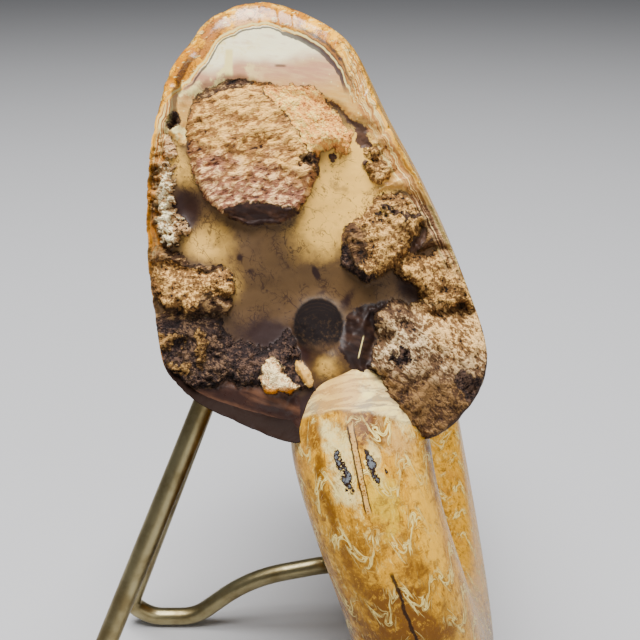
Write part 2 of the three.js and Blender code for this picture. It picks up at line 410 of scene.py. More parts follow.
class Graph:
    """The node tree of one material."""

    def __init__(self, name: str) -> None:
        """Makes an empty material.

        Args:
            name: the material's.
        """
        self.material = bpy.data.materials.new(name)
        self.material.use_nodes = True
        self.tree = self.material.node_tree
        self.tree.nodes.clear()

    def node(self, kind: str, settings: dict | None = None, sockets: dict | None = None) -> Made:
        """Adds any node.

        Args:
            kind: the node's type.
            settings: what is set on the node first.
            sockets: values or links of its inputs, by name or number.

        Returns:
            The node, with its outputs at hand.
        """
        made = self.tree.nodes.new(kind)
        for key, value in (settings or {}).items():
            setattr(made, key, value)
        for key, value in (sockets or {}).items():
            target = made.inputs[key]
            if isinstance(value, (Signal, Tint)):
                self.tree.links.new(value.socket, target)
            elif target.type == "RGBA":
                target.default_value = (*value, 1.0)
            else:
                target.default_value = value
        return Made(self, made)

    def mix(self, factor: Signal | float, a: Tint | Shade, b: Tint | Shade, way: str = "MIX") -> Tint:
        """Goes from colour a, at factor 0, to colour b laid over it that way, at factor 1."""
        settings = {"data_type": "RGBA", "blend_type": way, "clamp_factor": True}
        return self.node("ShaderNodeMix", settings, {0: factor, 6: a, 7: b}).tint(2)

    def times(self, factor: Signal | float, a: Tint | Shade, b: Tint | Shade) -> Tint:
        """Colour a multiplied by colour b, as far as factor says."""
        return self.mix(factor, a, b, "MULTIPLY")

    def point(self) -> Tint:
        """Object coordinates in millimetres."""
        place = self.node("ShaderNodeTexCoord").tint("Object")
        return self.node("ShaderNodeVectorMath", {"operation": "SCALE"}, {0: place, "Scale": 1000.0}).tint()

    def attribute(self, name: str) -> Signal:
        """A number that the mesh carries."""
        return self.node("ShaderNodeAttribute", {"attribute_name": name}).value("Fac")

    def map_parts(self, name: str) -> tuple[Signal, Signal]:
        """The two coordinates of a UV map.

        Args:
            name: the map's.

        Returns:
            The first and the second.
        """
        place = self.node("ShaderNodeUVMap", {"uv_map": name}).tint()
        parts = self.node("ShaderNodeSeparateXYZ", None, {0: place})
        return parts.value(0), parts.value(1)

    def vector(self, x: Signal, y: Signal) -> Tint:
        """A vector of two numbers and 0."""
        return self.node("ShaderNodeCombineXYZ", None, {0: x, 1: y}).tint()

    def stretched(self, at: Tint, size: tuple[float, float, float], turn: float = 0.0) -> Tint:
        """A place turned about z by turn degrees and then stretched by size."""
        turned = self.node("ShaderNodeMapping", None, {0: at, 2: (0.0, 0.0, math.radians(turn))}).tint()
        return self.node("ShaderNodeVectorMath", {"operation": "MULTIPLY"}, {0: turned, 1: size}).tint()

    def cloud(
        self, at: Tint, scale: float, detail: float = 3.0, rough: float = 0.55, warp: float = 0.0
    ) -> Signal:
        """Cloudy noise, 0 to 1 about 0.5, with scale features in each unit of at."""
        sockets = {"Vector": at, "Scale": scale, "Detail": detail, "Roughness": rough, "Distortion": warp}
        return self.node("ShaderNodeTexNoise", {"noise_dimensions": "3D"}, sockets).value(0)

    def grains(self, at: Tint, scale: float) -> Signal:
        """Distance to the nearest of seeds strewn about 1/scale apart, in parts of that."""
        return self.node("ShaderNodeTexVoronoi", None, {"Vector": at, "Scale": scale}).value("Distance")

    def bump(self, height: Signal, strength: float, distance: float) -> Tint:
        """A normal tilted by a height; distance is the height's full size in metres."""
        sockets = {"Height": height, "Strength": strength, "Distance": distance}
        return self.node("ShaderNodeBump", None, sockets).tint()

    def principled(self, **sockets: Signal | Tint | float | Shade) -> bpy.types.Material:
        """Ends the tree in a Principled shader; a socket's name has _ for its space.

        Args:
            sockets: values or links of the shader's inputs.

        Returns:
            The finished material.
        """
        named = {key.replace("_", " "): value for key, value in sockets.items()}
        shader = self.node("ShaderNodeBsdfPrincipled", None, named).tint()
        self.node("ShaderNodeOutputMaterial", None, {"Surface": shader})
        return self.material


def tone(red: int, green: int, blue: int) -> Shade:
    """A colour given as on a colour card, 0 to 255 each, as light: ((c + 0.055) / 1.055)^2.4,
    or c / 12.92 for the darkest."""
    parts = (c / 255.0 for c in (red, green, blue))
    return tuple(c / 12.92 if c <= 0.04045 else ((c + 0.055) / 1.055) ** 2.4 for c in parts)


# ---- the coil
GROWN_HALF: Outline = (
    (0.0, 1.0), (0.085, 0.982), (0.15, 0.925), (0.19, 0.85), (0.222, 0.7), (0.252, 0.56),
    (0.268, 0.485), (0.26, 0.435), (0.228, 0.4), (0.17, 0.378), (0.115, 0.368), (0.0, 0.35),
)  # fmt: skip
BREAK_OUTLINE: Outline = (
    (-7.5, 38.5), (-1.1, 36.6), (3.7, 33.2), (7.9, 24.4), (13.3, 14.5), (17.8, 4.2),
    (20.1, -3.0), (20.2, -6.6), (18.7, -9.6), (16.4, -12.4), (12.6, -14.4), (7.5, -13.0),
    (2.0, -12.8), (-3.0, -14.9), (-9.6, -12.6), (-15.7, -9.4), (-18.7, -6.0), (-19.7, -1.8),
    (-20.7, 4.8), (-21.1, 13.3), (-20.5, 21.7), (-18.9, 29.2), (-16.9, 32.6), (-13.6, 36.5),
)  # fmt: skip


@dataclass(frozen=True)
class Coil:
    """Where the spiral stands, and the plane of its broken end."""

    centre: tuple[float, float, float] = (14.4, -9.0, 42.15)
    lean: float = 15.0
    turn: float = 2.0
    growth: float = 2.29
    keel_radius: float = 31.0
    keel_angle: float = 38.0
    young_width: float = 0.24
    middle: float = 0.68
    face_centre: tuple[float, float, float] = (5.4, -25.7, 70.95)
    face_tilt: float = 22.0

    def axes(self) -> tuple[Array, Array, Array]:
        """The axis's directions, leaned to one side and then turned about the upright.

        Returns:
            The coil's axis, its up and its back, as unit vectors.
        """
        lean, turn = math.radians(self.lean), -math.radians(self.turn)
        c, s = math.cos(turn), math.sin(turn)
        about_z = np.array([[c, -s, 0], [s, c, 0], [0, 0, 1]])
        axis = about_z @ np.array([math.cos(lean), 0, math.sin(lean)])
        up = about_z @ np.array([-math.sin(lean), 0, math.cos(lean)])
        return axis, up, about_z @ np.array([0.0, 1.0, 0.0])

    def face_axes(self) -> tuple[Array, Array, Array]:
        """The broken face's right, its up, and the way it faces."""
        c, s = math.cos(math.radians(self.face_tilt)), math.sin(math.radians(self.face_tilt))
        return np.array([1.0, 0, 0]), np.array([0, s, c]), np.array([0, -c, s])

    def keel(self, theta: Array | float) -> Array:
        """Radius of the keel at a coil angle: it grows by the same share every degree."""
        return self.keel_radius * self.growth ** ((np.asarray(theta, dtype=float) - self.keel_angle) / 360.0)

    def point(self, u: Array, rho: Array, theta: Array) -> Array:
        """The point at u along the axis and rho from it, at a coil angle in degrees."""
        a = np.radians(theta)
        return placed(self.centre, self.axes(), u, rho * np.cos(a), -rho * np.sin(a))

    def face_point(self, x: Array, y: Array, n: Array | float) -> Array:
        """The point x right and y up on the broken face, and n out of it."""
        return placed(self.face_centre, self.face_axes(), x, y, n)

    def on_face(self, points: Array) -> tuple[Array, ...]:
        """x, y and n on the broken face, for points in the row frame."""
        return tuple((points - np.array(self.face_centre)) @ axis for axis in self.face_axes())


class Sections:
    """A whorl's section as a radius for each direction phi, seen from its middle."""

    def __init__(self, coil: Coil) -> None:
        """Works out the young, the grown and the broken outline in keel radii.

        Args:
            coil: the spiral they are for.
        """
        self.coil = coil
        half = np.array(GROWN_HALF)
        grown = np.concatenate([half, half[1:-1][::-1] * [-1, 1]])
        a = np.arange(24) / 24 * 2 * np.pi
        young = np.stack([coil.young_width * np.sin(a), 0.715 + 0.285 * np.cos(a)], axis=1)
        face = np.array(BREAK_OUTLINE)
        w = coil.face_point(face[:, 0], face[:, 1], 0.0) - np.array(coil.centre)
        axis, up, back = coil.axes()
        high, front = w @ up, -(w @ back)
        reach = coil.keel(np.degrees(np.arctan2(front, high)) + 360.0)
        broken = np.stack([(w @ axis) / reach, np.hypot(high, front) / reach], axis=1)
        self.outlines = [self._polar(shape) for shape in (young, grown, broken)]

    def _polar(self, shape: Array) -> tuple[Array, Array]:
        """A closed outline as it is seen from the section's middle.

        Args:
            shape: its corners.

        Returns:
            Directions in rising order, and the radii there.
        """
        curve = closed_curve(shape, 60) - [0.0, self.coil.middle]
        phi = np.arctan2(curve[:, 0], curve[:, 1])
        order = np.argsort(phi)
        return phi[order], np.hypot(curve[order, 0], curve[order, 1])

    def radius(self, which: int, phi: Array) -> Array:
        """Radius of outline number which, in the directions phi."""
        at, size = self.outlines[which]
        return np.interp(phi, at, size, period=2 * np.pi)

    def ring(self, phi: Array, theta: Array, blend: Array | float = 0.0, lift: Array | float = 0.0) -> Array:
        """Points of the whorl's surface.

        The radius goes from the young outline to the grown one over 300 degrees of coil, and
        then to the broken one as far as blend says: u = r sin(phi) R, rho = (m + r cos(phi)) R.
        The young whorls bulge by half a millimetre where they lie on the one before, and the
        first ones reach over the coil's axis, which closes its heart.

        Args:
            phi: directions from the section's middle, 0 at the keel.
            theta: coil angles in degrees.
            blend: 0 for the whorl's own section, 1 for the outline of the break.
            lift: millimetres outwards from the surface.

        Returns:
            The points, with a last axis of 3.
        """
        grown = np.clip((theta - self.coil.keel_angle - 60.0) / 300.0, 0, 1)
        r = lerp(lerp(self.radius(0, phi), self.radius(1, phi), grown), self.radius(2, phi), blend)
        size = self.coil.keel(theta)
        wide, aside, sink = self._swelling(theta)
        off = np.abs(np.arctan2(np.sin(phi), np.cos(phi))) - np.pi
        touch = np.minimum(0.5, 0.2 * size) * (1 - grown) * np.exp(-((off / 0.45) ** 2))
        touch = touch + 0.9 * size * smoothstep(-size, -2.1, -1.2) * np.exp(-((off / 0.35) ** 2))
        r = r + (lift - sink * smoothstep(np.cos(phi), -0.3, 0.6) + touch) / size
        u, rho = r * np.sin(phi) * size * wide + aside, (self.coil.middle + r * np.cos(phi)) * size
        return self.coil.point(u, rho, theta)

    @staticmethod
    def _swelling(theta: Array) -> tuple[Array, Array, Array]:
        """The inner whorl's own shape where it comes out under the break.

        Args:
            theta: coil angles in degrees.

        Returns:
            How wide it is against the spiral's rule, a fifth more at 42 degrees and 0.07 less
            at 104, how far it leans aside, and how far it is worn down, 1 mm at 34 degrees.
        """
        spans = ((42.0, 24.0), (104.0, 26.0), (34.0, 16.0))
        crest, foot, worn = (np.exp(-(((theta - at) / width) ** 2)) for at, width in spans)
        return 1.0 + 0.2 * crest - 0.07 * foot, 1.1 * foot + 0.1 * crest, worn

    def half_length(self, phi: Array) -> Array:
        """How far round the grown section phi is: the arc from the keel over the whole arc
        from keel to seam, signed by side.

        Args:
            phi: directions from the section's middle.

        Returns:
            The share of the arc, -1 to 1.
        """
        a = np.linspace(0, np.pi, 721)
        r = self.radius(1, a)
        x, y = r * np.sin(a), r * np.cos(a)
        arc = np.concatenate([[0], np.cumsum(np.hypot(np.diff(x), np.diff(y)))])
        wrapped = np.arctan2(np.sin(phi), np.cos(phi))
        return np.sign(wrapped) * np.interp(np.abs(wrapped), a, arc / arc[-1])


# ---- the broken face
class Stuff(Enum):
    """What an area over the bare chamber wall is made of; the value is its attribute's name."""

    NACRE = "nacre"
    PLUG = "plug"
    GOLD = "gold"
    GREY = "grey"
    MATRIX = "matrix"
    CREAM = "cream"
    WALL = "wall"


class Tooth(Enum):
    """How the stone of an area broke."""

    SMOOTH = "smooth"
    GRANULAR = "granular"
    LAYERED = "layered"
    FIBROUS = "fibrous"


# the line that each way of breaking runs along: degrees that it climbs by, and its stretch
TOOTH_RUN = {Tooth.LAYERED: (16.0, 1.35), Tooth.FIBROUS: (-50.0, 1.4), Tooth.GRANULAR: (0.0, 1.0)}


@dataclass(frozen=True)
class Area:
    """One area of the broken face: what it is, where, how high, and how it broke."""

    stuff: Stuff
    outline: Outline
    level: float
    dome: float = 0.0
    edge: float = 0.9
    ragged: float = 0.45
    tooth: Tooth = Tooth.GRANULAR
    depth: float = 0.6
    slope: tuple[float, float] = (0.0, 0.0)


AREAS: tuple[Area, ...] = (
    Area(Stuff.NACRE, (  # pearly lining under the keel
        (-30, 19.9), (-21, 19.9), (-19.2, 20.6), (-18.6, 22.6), (-16.6, 21.0), (-16.2, 23.3),
        (-15.2, 26.9), (-11, 29.0), (-7.9, 28.6), (-5, 27.2), (-2, 26.9), (1.2, 26.2), (2, 25.7),
        (4, 24.3), (6, 23.5), (6.5, 21.6), (8, 20.9), (9.5, 18.8), (8.8, 17.6), (7.4, 16.8), (6.8, 15.4),
        (8.3, 15.9), (10.2, 15.6), (12.3, 14.6), (14, 12.6), (30, 12), (30, 45), (-30, 45),
    ), level=-0.5, edge=1.2, ragged=0.25, tooth=Tooth.SMOOTH, depth=0.05),
    Area(Stuff.WALL, (  # umbilical wall under the break
        (-19.2, -5.2), (-17.6, -6.6), (-15.6, -7.9), (-12.6, -7.8), (-9.4, -7.6), (-7.2, -7.8),
        (-6.2, -9.0), (-4.6, -9.2), (-2.2, -8.4), (-2.6, -10.5), (-2.3, -12.5), (-3.5, -18), (-10, -18),
        (-26, -14), (-24, -5.6),
    ), level=-0.9, edge=0.9, ragged=0.3, tooth=Tooth.SMOOTH, depth=0.12, slope=(0.0, 0.16)),
    Area(Stuff.MATRIX, (  # dark rock, lower left
        (-24, 1.0), (-19.5, 0.9), (-17.9, 1.2), (-14.4, 1.1), (-12.4, 0.4), (-11.2, -0.8), (-10.4, -2.2),
        (-8.6, -3.2), (-6.4, -3.3), (-4.9, -2.2), (-4.0, -1.6), (-2.9, -2.4), (-2.6, -5), (-1.0, -7.9),
        (-2.4, -9.0), (-4.6, -9.4), (-7, -8.2), (-9.4, -7.8), (-12.6, -8.0), (-15.6, -8.1),
        (-18.0, -6.6), (-24, -4.0),
    ), level=-0.9, edge=1.1, ragged=0.6, depth=0.9, slope=(0.0, -0.06)),
    Area(Stuff.GREY, (  # brown stone in it
        (-16.6, 0.0), (-14.0, 0.6), (-12.0, -1.0), (-11.6, -3.4), (-10.4, -5.0), (-11.0, -6.8),
        (-13.6, -7.6), (-15.6, -6.6), (-16.8, -4.0),
    ), level=-0.7, edge=1.6, ragged=1.0, tooth=Tooth.FIBROUS, depth=1.0),
    Area(Stuff.GOLD, (  # fibrous rib in it
        (-14.8, -0.9), (-14.2, -0.8), (-13.9, -2.0), (-13.6, -3.6), (-13.8, -5.0), (-14.3, -6.2),
        (-14.8, -5.2), (-15.0, -3.4),
    ), level=0.1, edge=0.7, ragged=0.55, tooth=Tooth.FIBROUS, depth=0.7),
    Area(Stuff.GOLD, (  # golden crumbs at its left edge
        (-19.6, -1.2), (-17.8, -1.6), (-16.4, -2.0), (-16.0, -2.6), (-17.4, -2.9), (-18.2, -4.0),
        (-19.4, -3.2),
    ), level=-0.2, edge=0.8, ragged=0.9, depth=0.7),
    Area(Stuff.GOLD, (  # more of them lower down
        (-18.6, -4.7), (-16.8, -5.3), (-15.4, -5.9), (-15.6, -6.5), (-17.0, -6.3), (-18.5, -5.7),
    ), level=-0.2, edge=0.7, ragged=0.7, depth=0.6),
    Area(Stuff.GREY, (  # grey specks
        (-12.9, -5.2), (-11.0, -5.0), (-9.8, -6.4), (-8.2, -7.2), (-9.6, -7.9), (-11.4, -7.4),
        (-12.8, -6.6),
    ), level=-0.2, edge=0.9, ragged=1.0, depth=0.9),
    Area(Stuff.PLUG, (  # round plug of layered rock
        (-15.3, 26.6), (-13.4, 28.2), (-11, 29.0), (-7.9, 29.0), (-4.6, 28.0), (-1.6, 25.6),
        (-0.2, 22.4), (0.0, 19.8), (-0.4, 17.4), (-1.4, 14.9), (-3.2, 12.8), (-5.4, 11.75),
        (-7.6, 11.45), (-9.6, 11.8), (-11.6, 12.7), (-13.5, 14.2), (-14.9, 16.3), (-15.7, 18.8),
        (-16.2, 21.3), (-16.1, 24.2),
    ), level=-0.1, dome=0.6, edge=0.7, ragged=0.22, tooth=Tooth.LAYERED, depth=0.7, slope=(0.0, -0.1)),
    Area(Stuff.WALL, (  # painted shade: smooth dark underside at the plug's foot
        (-11.6, 13.0), (-10.4, 13.6), (-8.6, 14.0), (-6.4, 13.9), (-4.4, 13.5), (-2.4, 13.2),
        (-3.6, 12.3), (-5.4, 11.7), (-7.6, 11.4), (-9.6, 11.8),
    ), level=-0.2, edge=0.9, ragged=0.2, tooth=Tooth.SMOOTH, depth=0.3, slope=(0.0, 0.3)),
    Area(Stuff.MATRIX, (  # shadowed gap over the plug
        (-15.1, 26.7), (-13.8, 27.9), (-12.2, 28.8), (-10.5, 29.2), (-9.2, 29.2), (-7.9, 28.8),
        (-9.4, 28.2), (-10.5, 27.9), (-12.8, 27.3), (-14.4, 26.8),
    ), level=-0.9, edge=0.6, ragged=0.2, depth=0.4),
    Area(Stuff.GOLD, (  # golden rock spilling right of the plug
        (-6.8, 27.8), (-4.5, 28.5), (-1, 28.1), (0.8, 26.8), (1.7, 25.6), (2.2, 24.5), (3.2, 23.6),
        (3.9, 22.6), (3.9, 21.4), (3.0, 19.9), (1.9, 20.3), (0.8, 20.5), (-0.6, 19.9), (-1.7, 20.8),
        (-3.0, 22.8), (-4.6, 25.4),
    ), level=-0.1, dome=0.4, edge=1.7, ragged=0.4, tooth=Tooth.FIBROUS, depth=0.6, slope=(0.0, -0.22)),
    Area(Stuff.WALL, (  # notch under it
        (0.9, 20.1), (1.4, 20.3), (2.2, 20.1), (2.0, 19.5), (1.5, 19.3), (1.1, 19.6),
    ), level=-0.8, edge=0.9, ragged=0.15, depth=0.1),
    Area(Stuff.MATRIX, (  # dark hollow at the plug's right edge
        (-2.0, 19.5), (-1.1, 20.0), (-0.3, 19.9), (0.0, 18.8), (-0.2, 17.4), (-0.6, 16.7), (-1.0, 17.6),
        (-1.3, 18.5),
    ), level=-0.5, edge=0.8, ragged=0.9, depth=0.7),
    Area(Stuff.WALL, (  # dark cleft, upper right
        (1.2, 26.5), (2.1, 25.6), (2.9, 24.7), (3.5, 23.9), (4.2, 23.0), (4.4, 21.9), (4.9, 21.2),
        (5.9, 20.9), (6.9, 20.9), (6.2, 21.9), (5.8, 22.6), (6.3, 23.3), (5.5, 23.4), (4.5, 23.9),
        (3.6, 24.5), (2.7, 25.3), (1.5, 26.6),
    ), level=-1.5, edge=0.6, ragged=0.2, depth=0.2),
    Area(Stuff.GOLD, (  # small rough patches beside it
        (5.6, 20.7), (6.8, 21.3), (8.0, 21.1), (7.6, 20.2), (9.4, 18.6), (8.9, 17.7), (7.6, 16.7),
        (6.4, 17.0), (5.8, 17.8), (5.2, 18.4), (5.7, 19.1), (6.4, 19.4), (5.8, 20.0),
    ), level=-0.5, edge=1.0, ragged=0.3, tooth=Tooth.LAYERED, depth=0.7),
    Area(Stuff.WALL, (  # dark hollow among them
        (5.1, 19.3), (5.8, 19.6), (6.1, 19.3), (5.8, 18.9), (5.4, 18.6), (5.0, 18.6),
    ), level=-0.8, edge=0.8, ragged=0.2, depth=0.3),
    Area(Stuff.GREY, (  # crumbs along the left edge
        (-20.4, 19.9), (-18.9, 20.3), (-18.2, 18.4), (-17.5, 16.6), (-17.4, 14.8), (-17.8, 13.4),
        (-16.4, 11.8), (-16.2, 10.2), (-17.2, 9.3), (-18.8, 9.6), (-20.2, 11.0), (-20.6, 13.6),
        (-20.4, 17.0),
    ), level=0.0, edge=0.8, ragged=0.7, depth=1.1),
    Area(Stuff.MATRIX, (  # dark rock between crumbs and block
        (-21.4, 9.4), (-19.4, 9.3), (-17.6, 8.4), (-15.8, 7.2), (-14.4, 6.6), (-13.0, 6.3), (-14.4, 5.8),
        (-17.4, 6.4), (-20.8, 6.6),
    ), level=-0.7, edge=0.9, ragged=0.5, depth=0.7),
    Area(Stuff.GOLD, (  # granular block, left
        (-20.3, 6.6), (-17.9, 6.8), (-15.8, 6.4), (-14.4, 6.0), (-12.9, 6.4), (-11.6, 6.5), (-10.5, 5.7),
        (-10.3, 4.4), (-11.1, 3.4), (-11.0, 2.4), (-11.2, 1.3), (-13.4, 1.2), (-15.6, 1.0), (-17.9, 1.1),
        (-19.6, 2.2), (-20.4, 3.8), (-20.4, 5.2),
    ), level=0.0, dome=0.7, edge=1.0, ragged=0.45, depth=0.9, slope=(0.0, -0.14)),
    Area(Stuff.MATRIX, (  # black gap over its right end
        (-14.3, 5.9), (-13.4, 6.5), (-12.0, 6.8), (-11.4, 6.5), (-12.8, 6.0), (-14.0, 5.6),
    ), level=-1.8, edge=0.35, ragged=0.2, depth=0.2),
    Area(Stuff.MATRIX, (  # purple pits in its lower right
        (-14.2, 3.0), (-13.0, 3.2), (-11.2, 3.0), (-10.8, 2.0), (-11.0, 0.9), (-13.6, 0.9), (-16.6, 0.9),
        (-14.8, 1.6),
    ), level=-0.5, edge=0.6, ragged=0.6, depth=0.7),
    Area(Stuff.GOLD, (  # granular block, right
        (3.1, 10.8), (3.9, 11.2), (4.2, 12.4), (5.9, 14.0), (7.4, 15.0), (8.8, 15.6), (10.4, 15.2),
        (12.0, 14.6), (13.3, 13.2), (13.1, 12.2), (12.3, 11.0), (11.4, 9.9), (10.7, 8.2), (8.7, 6.2),
        (7.4, 5.4), (6.2, 4.7), (4.6, 5.4), (3.3, 7.0), (3.0, 9.0),
    ), level=0.1, dome=1.0, edge=1.2, ragged=0.5, depth=0.95, slope=(0.0, -0.1)),
    Area(Stuff.PLUG, (  # brown stone at its upper left
        (3.0, 11.2), (4.4, 11.8), (5.3, 11.0), (5.4, 9.4), (5.2, 7.6), (4.2, 6.8), (3.6, 7.8),
        (3.0, 9.6),
    ), level=-0.1, edge=0.8, ragged=0.5, depth=0.7),
    Area(Stuff.MATRIX, (  # dark band across it
        (7.2, 13.5), (8.4, 13.6), (9.8, 13.2), (11.3, 12.9), (12.0, 13.6), (12.7, 13.2), (12.4, 12.5),
        (10.9, 12.4), (9.6, 12.3), (8.2, 12.7),
    ), level=-0.2, edge=0.5, ragged=0.9, depth=0.9),
    Area(Stuff.MATRIX, (  # shiny dark nodule at its foot
        (3.0, 9.4), (3.7, 8.8), (3.9, 7.6), (4.6, 6.4), (5.8, 5.6), (7.2, 5.6), (6.4, 4.6), (4.6, 5.0),
        (3.0, 6.4), (2.4, 7.4), (2.5, 8.2),
    ), level=-0.4, edge=0.8, ragged=0.35, depth=0.5),
    Area(Stuff.PLUG, (  # smooth mauve slip face
        (12.2, 13.6), (13.4, 13.8), (14.9, 11.6), (16.2, 9.2), (15.4, 8.6), (13.6, 9.0), (11.6, 8.0),
        (11.6, 9.6), (12.4, 11.4),
    ), level=-0.5, edge=0.9, ragged=0.25, tooth=Tooth.LAYERED, depth=0.25),
    Area(Stuff.WALL, (  # dark cleft, right
        (12.4, 11.0), (12.9, 10.2), (12.6, 9.2), (11.6, 8.2), (10.6, 7.6), (10.0, 7.2), (10.6, 8.4),
        (11.5, 9.8),
    ), level=-0.9, edge=0.8, ragged=0.3, depth=0.4),
    Area(Stuff.GOLD, (  # golden ledge, lower right
        (8.8, 7.5), (9.9, 8.2), (11.4, 7.8), (13.2, 8.3), (15.3, 8.7), (16.6, 8.6), (17.6, 6.6),
        (18.8, 5), (19.4, 1.6), (16.8, 1.5), (14.5, 1.2), (13.0, 0.8), (12.0, 1.6), (12.1, 3.4),
        (11.4, 4.2), (9.9, 4.9), (9.2, 6.2),
    ), level=0.1, dome=0.7, edge=1.1, ragged=0.5, depth=0.95, slope=(0.0, -0.1)),
    Area(Stuff.GREY, (  # grey lobe, lower right
        (6.4, 1.2), (8.6, 2.2), (11.4, 2.3), (14.2, 1.9), (19.0, 1.6), (24, 3), (26, -10), (18, -20),
        (13.2, -18), (11.1, -13.0), (8.6, -12.6), (6.8, -10.6), (6.4, -8.2), (6.8, -6.8), (5.7, -5.6),
        (6.2, -3.3), (7.3, -1.5), (6.4, -0.2),
    ), level=0.1, dome=1.0, edge=1.2, ragged=0.45, tooth=Tooth.FIBROUS, depth=0.9, slope=(0.0, -0.04)),
    Area(Stuff.MATRIX, (  # deep crease across it
        (8.4, -3.2), (9.6, -3.4), (11.0, -4.4), (12.2, -5.0), (11.6, -5.6), (10.0, -5.2), (8.6, -4.4),
    ), level=-0.2, edge=1.2, ragged=1.0, depth=0.9),
    Area(Stuff.MATRIX, (  # dark spots on its outer edge
        (16.6, -6.6), (18.4, -6.8), (19.4, -8.6), (18.4, -9.8), (16.8, -8.6),
    ), level=0.1, edge=1.2, ragged=0.9, depth=0.8),
    Area(Stuff.WALL, (  # painted shadow: black wedge between knob and lobe
        (2.2, -2.3), (3.0, -0.4), (3.6, 0.7), (5.0, 1.6), (6.5, 2.1), (8.4, 2.4), (8.2, 1.7), (6.8, 0.8),
        (6.9, -0.4), (6.9, -1.6), (6.3, -3.8), (6.4, -5.7), (8.0, -8.4), (5.0, -7.6), (3.2, -5),
        (2.2, -3.6),
    ), level=-0.5, edge=1.0, ragged=0.3, tooth=Tooth.SMOOTH, depth=0.25),
    Area(Stuff.CREAM, (  # cream chip
        (-7.2, -6.9), (-6.7, -5.0), (-5.7, -4.6), (-4.6, -5.7), (-3.4, -7.0), (-2.3, -8.2), (-3.1, -8.9),
        (-5.0, -9.1), (-6.2, -9.2), (-7.0, -8.0),
    ), level=0.1, dome=0.6, edge=0.6, ragged=0.35, depth=0.6),
    Area(Stuff.NACRE, (  # sliver of grey shell beside it
        (-2.9, -4.9), (-1.9, -5.4), (-1.1, -6.6), (-0.9, -7.8), (-1.4, -8.3), (-2.1, -7.4), (-2.8, -6.2),
    ), level=0.0, edge=0.5, ragged=0.15, tooth=Tooth.SMOOTH, depth=0.15),
    Area(Stuff.MATRIX, (  # black wedge over it
        (-5.9, -3.0), (-4.6, -2.7), (-3.6, -1.6), (-3.1, -2.6), (-2.6, -4.6), (-3.6, -4.2), (-4.6, -4.2),
        (-5.4, -4.4),
    ), level=-2.0, edge=0.6, ragged=0.5, depth=0.6),
    Area(Stuff.MATRIX, (  # pit, upper left
        (-18.5, 23.4), (-18.7, 24.4), (-17.9, 25.1), (-17.2, 24.9), (-17.1, 24.1), (-17.9, 23.3),
    ), level=-1.8, edge=0.5, ragged=0.25, depth=0.3),
    Area(Stuff.CREAM, (  # cream wedge under it
        (-19.6, 22.4), (-18.4, 22.6), (-17.7, 21.3), (-17.3, 19.9), (-18.6, 19.7),
    ), level=-0.3, edge=0.5, ragged=0.2, tooth=Tooth.SMOOTH, depth=0.2),
)  # fmt: skip


@dataclass(frozen=True)
class Patch:
    """A soft ellipse on the broken face, turned by turn degrees: a rise, a hollow, a stain with
    painted shadow, or painted light, whose depth is its height in millimetres or its strength."""

    x: float
    y: float
    width: float
    height: float
    turn: float = 0.0
    depth: float = 1.0
    power: float = 2.0

    def at(self, x: Array, y: Array) -> Array:
        """depth * exp(-d^power), with d the distance from (x, y) in widths and heights.

        Args:
            x: places to the right, in millimetres.
            y: places up the face.

        Returns:
            What the patch adds there.
        """
        a = math.radians(self.turn)
        u = (x - self.x) * math.cos(a) + (y - self.y) * math.sin(a)
        v = -(x - self.x) * math.sin(a) + (y - self.y) * math.cos(a)
        d2 = (u / self.width) ** 2 + (v / self.height) ** 2
        return self.depth * np.exp(-(d2 ** (self.power / 2)))


SWELLS: tuple[Patch, ...] = (
    Patch(1.5, 9.0, 4.5, 9.0, 0, -0.9),
    Patch(-2.5, 0.8, 8.0, 6.5, 0, -2.3, 2.4),
    Patch(-13.4, 10.6, 2.6, 4.0, 0, -0.7),
    Patch(-16.6, 13.6, 1.6, 2.6, 0, -1.0),
    Patch(10.2, 3.6, 2.4, 3.4, 0, -1.0),
    Patch(1.2, -4.6, 2.8, 2.4, 0, 2.4),
)
KNOB = Patch(-0.2, -0.7, 2.75, 3.05, 0, 1.5, 3.0)
# dark patches: some the stone's own stains, the rest painted shadow in hollows and under the plug
STAINS_AND_SHADOWS: tuple[Patch, ...] = (
    Patch(-16.4, 13.6, 2.3, 3.2, 0, 1.3, 2.4),
    Patch(-7.4, 9.0, 2.0, 2.4, 0, 0.42),
    Patch(-6.8, -2.0, 2.6, 2.2, -15, 1.0),
    Patch(-11.0, -1.6, 3.0, 2.4, 0, 0.55),
    Patch(-0.5, 5.8, 0.45, 1.05, 25, 1.2, 4.0),
    Patch(0.2, 3.4, 1.1, 0.3, 25, 0.7, 3.0),
    Patch(10.8, 3.8, 1.5, 3.0, 35, 0.9, 2.4),
    Patch(7.4, 1.8, 1.2, 0.45, 25, 1.2, 3.0),
    Patch(3.4, 2.6, 0.7, 2.0, -30, 0.8),
    Patch(5.0, 0.6, 2.4, 2.0, 0, 0.5),
    Patch(-9.8, 7.6, 0.45, 0.5, 0, 1.0, 3.0),
    Patch(-8.4, 5.9, 0.5, 0.45, 0, 0.7, 3.0),
    Patch(-1.8, -4.6, 1.0, 2.0, 10, 0.6),
    Patch(-0.6, -4.2, 3.4, 1.2, 0, 0.5),
    Patch(-4.6, -1.8, 2.6, 1.8, 0, 0.8),
    Patch(-0.5, -11.5, 2.8, 3.6, 0, 1.3, 4.0),
    Patch(1.6, 19.4, 0.7, 0.9, 0, 0.5, 3.0),
)
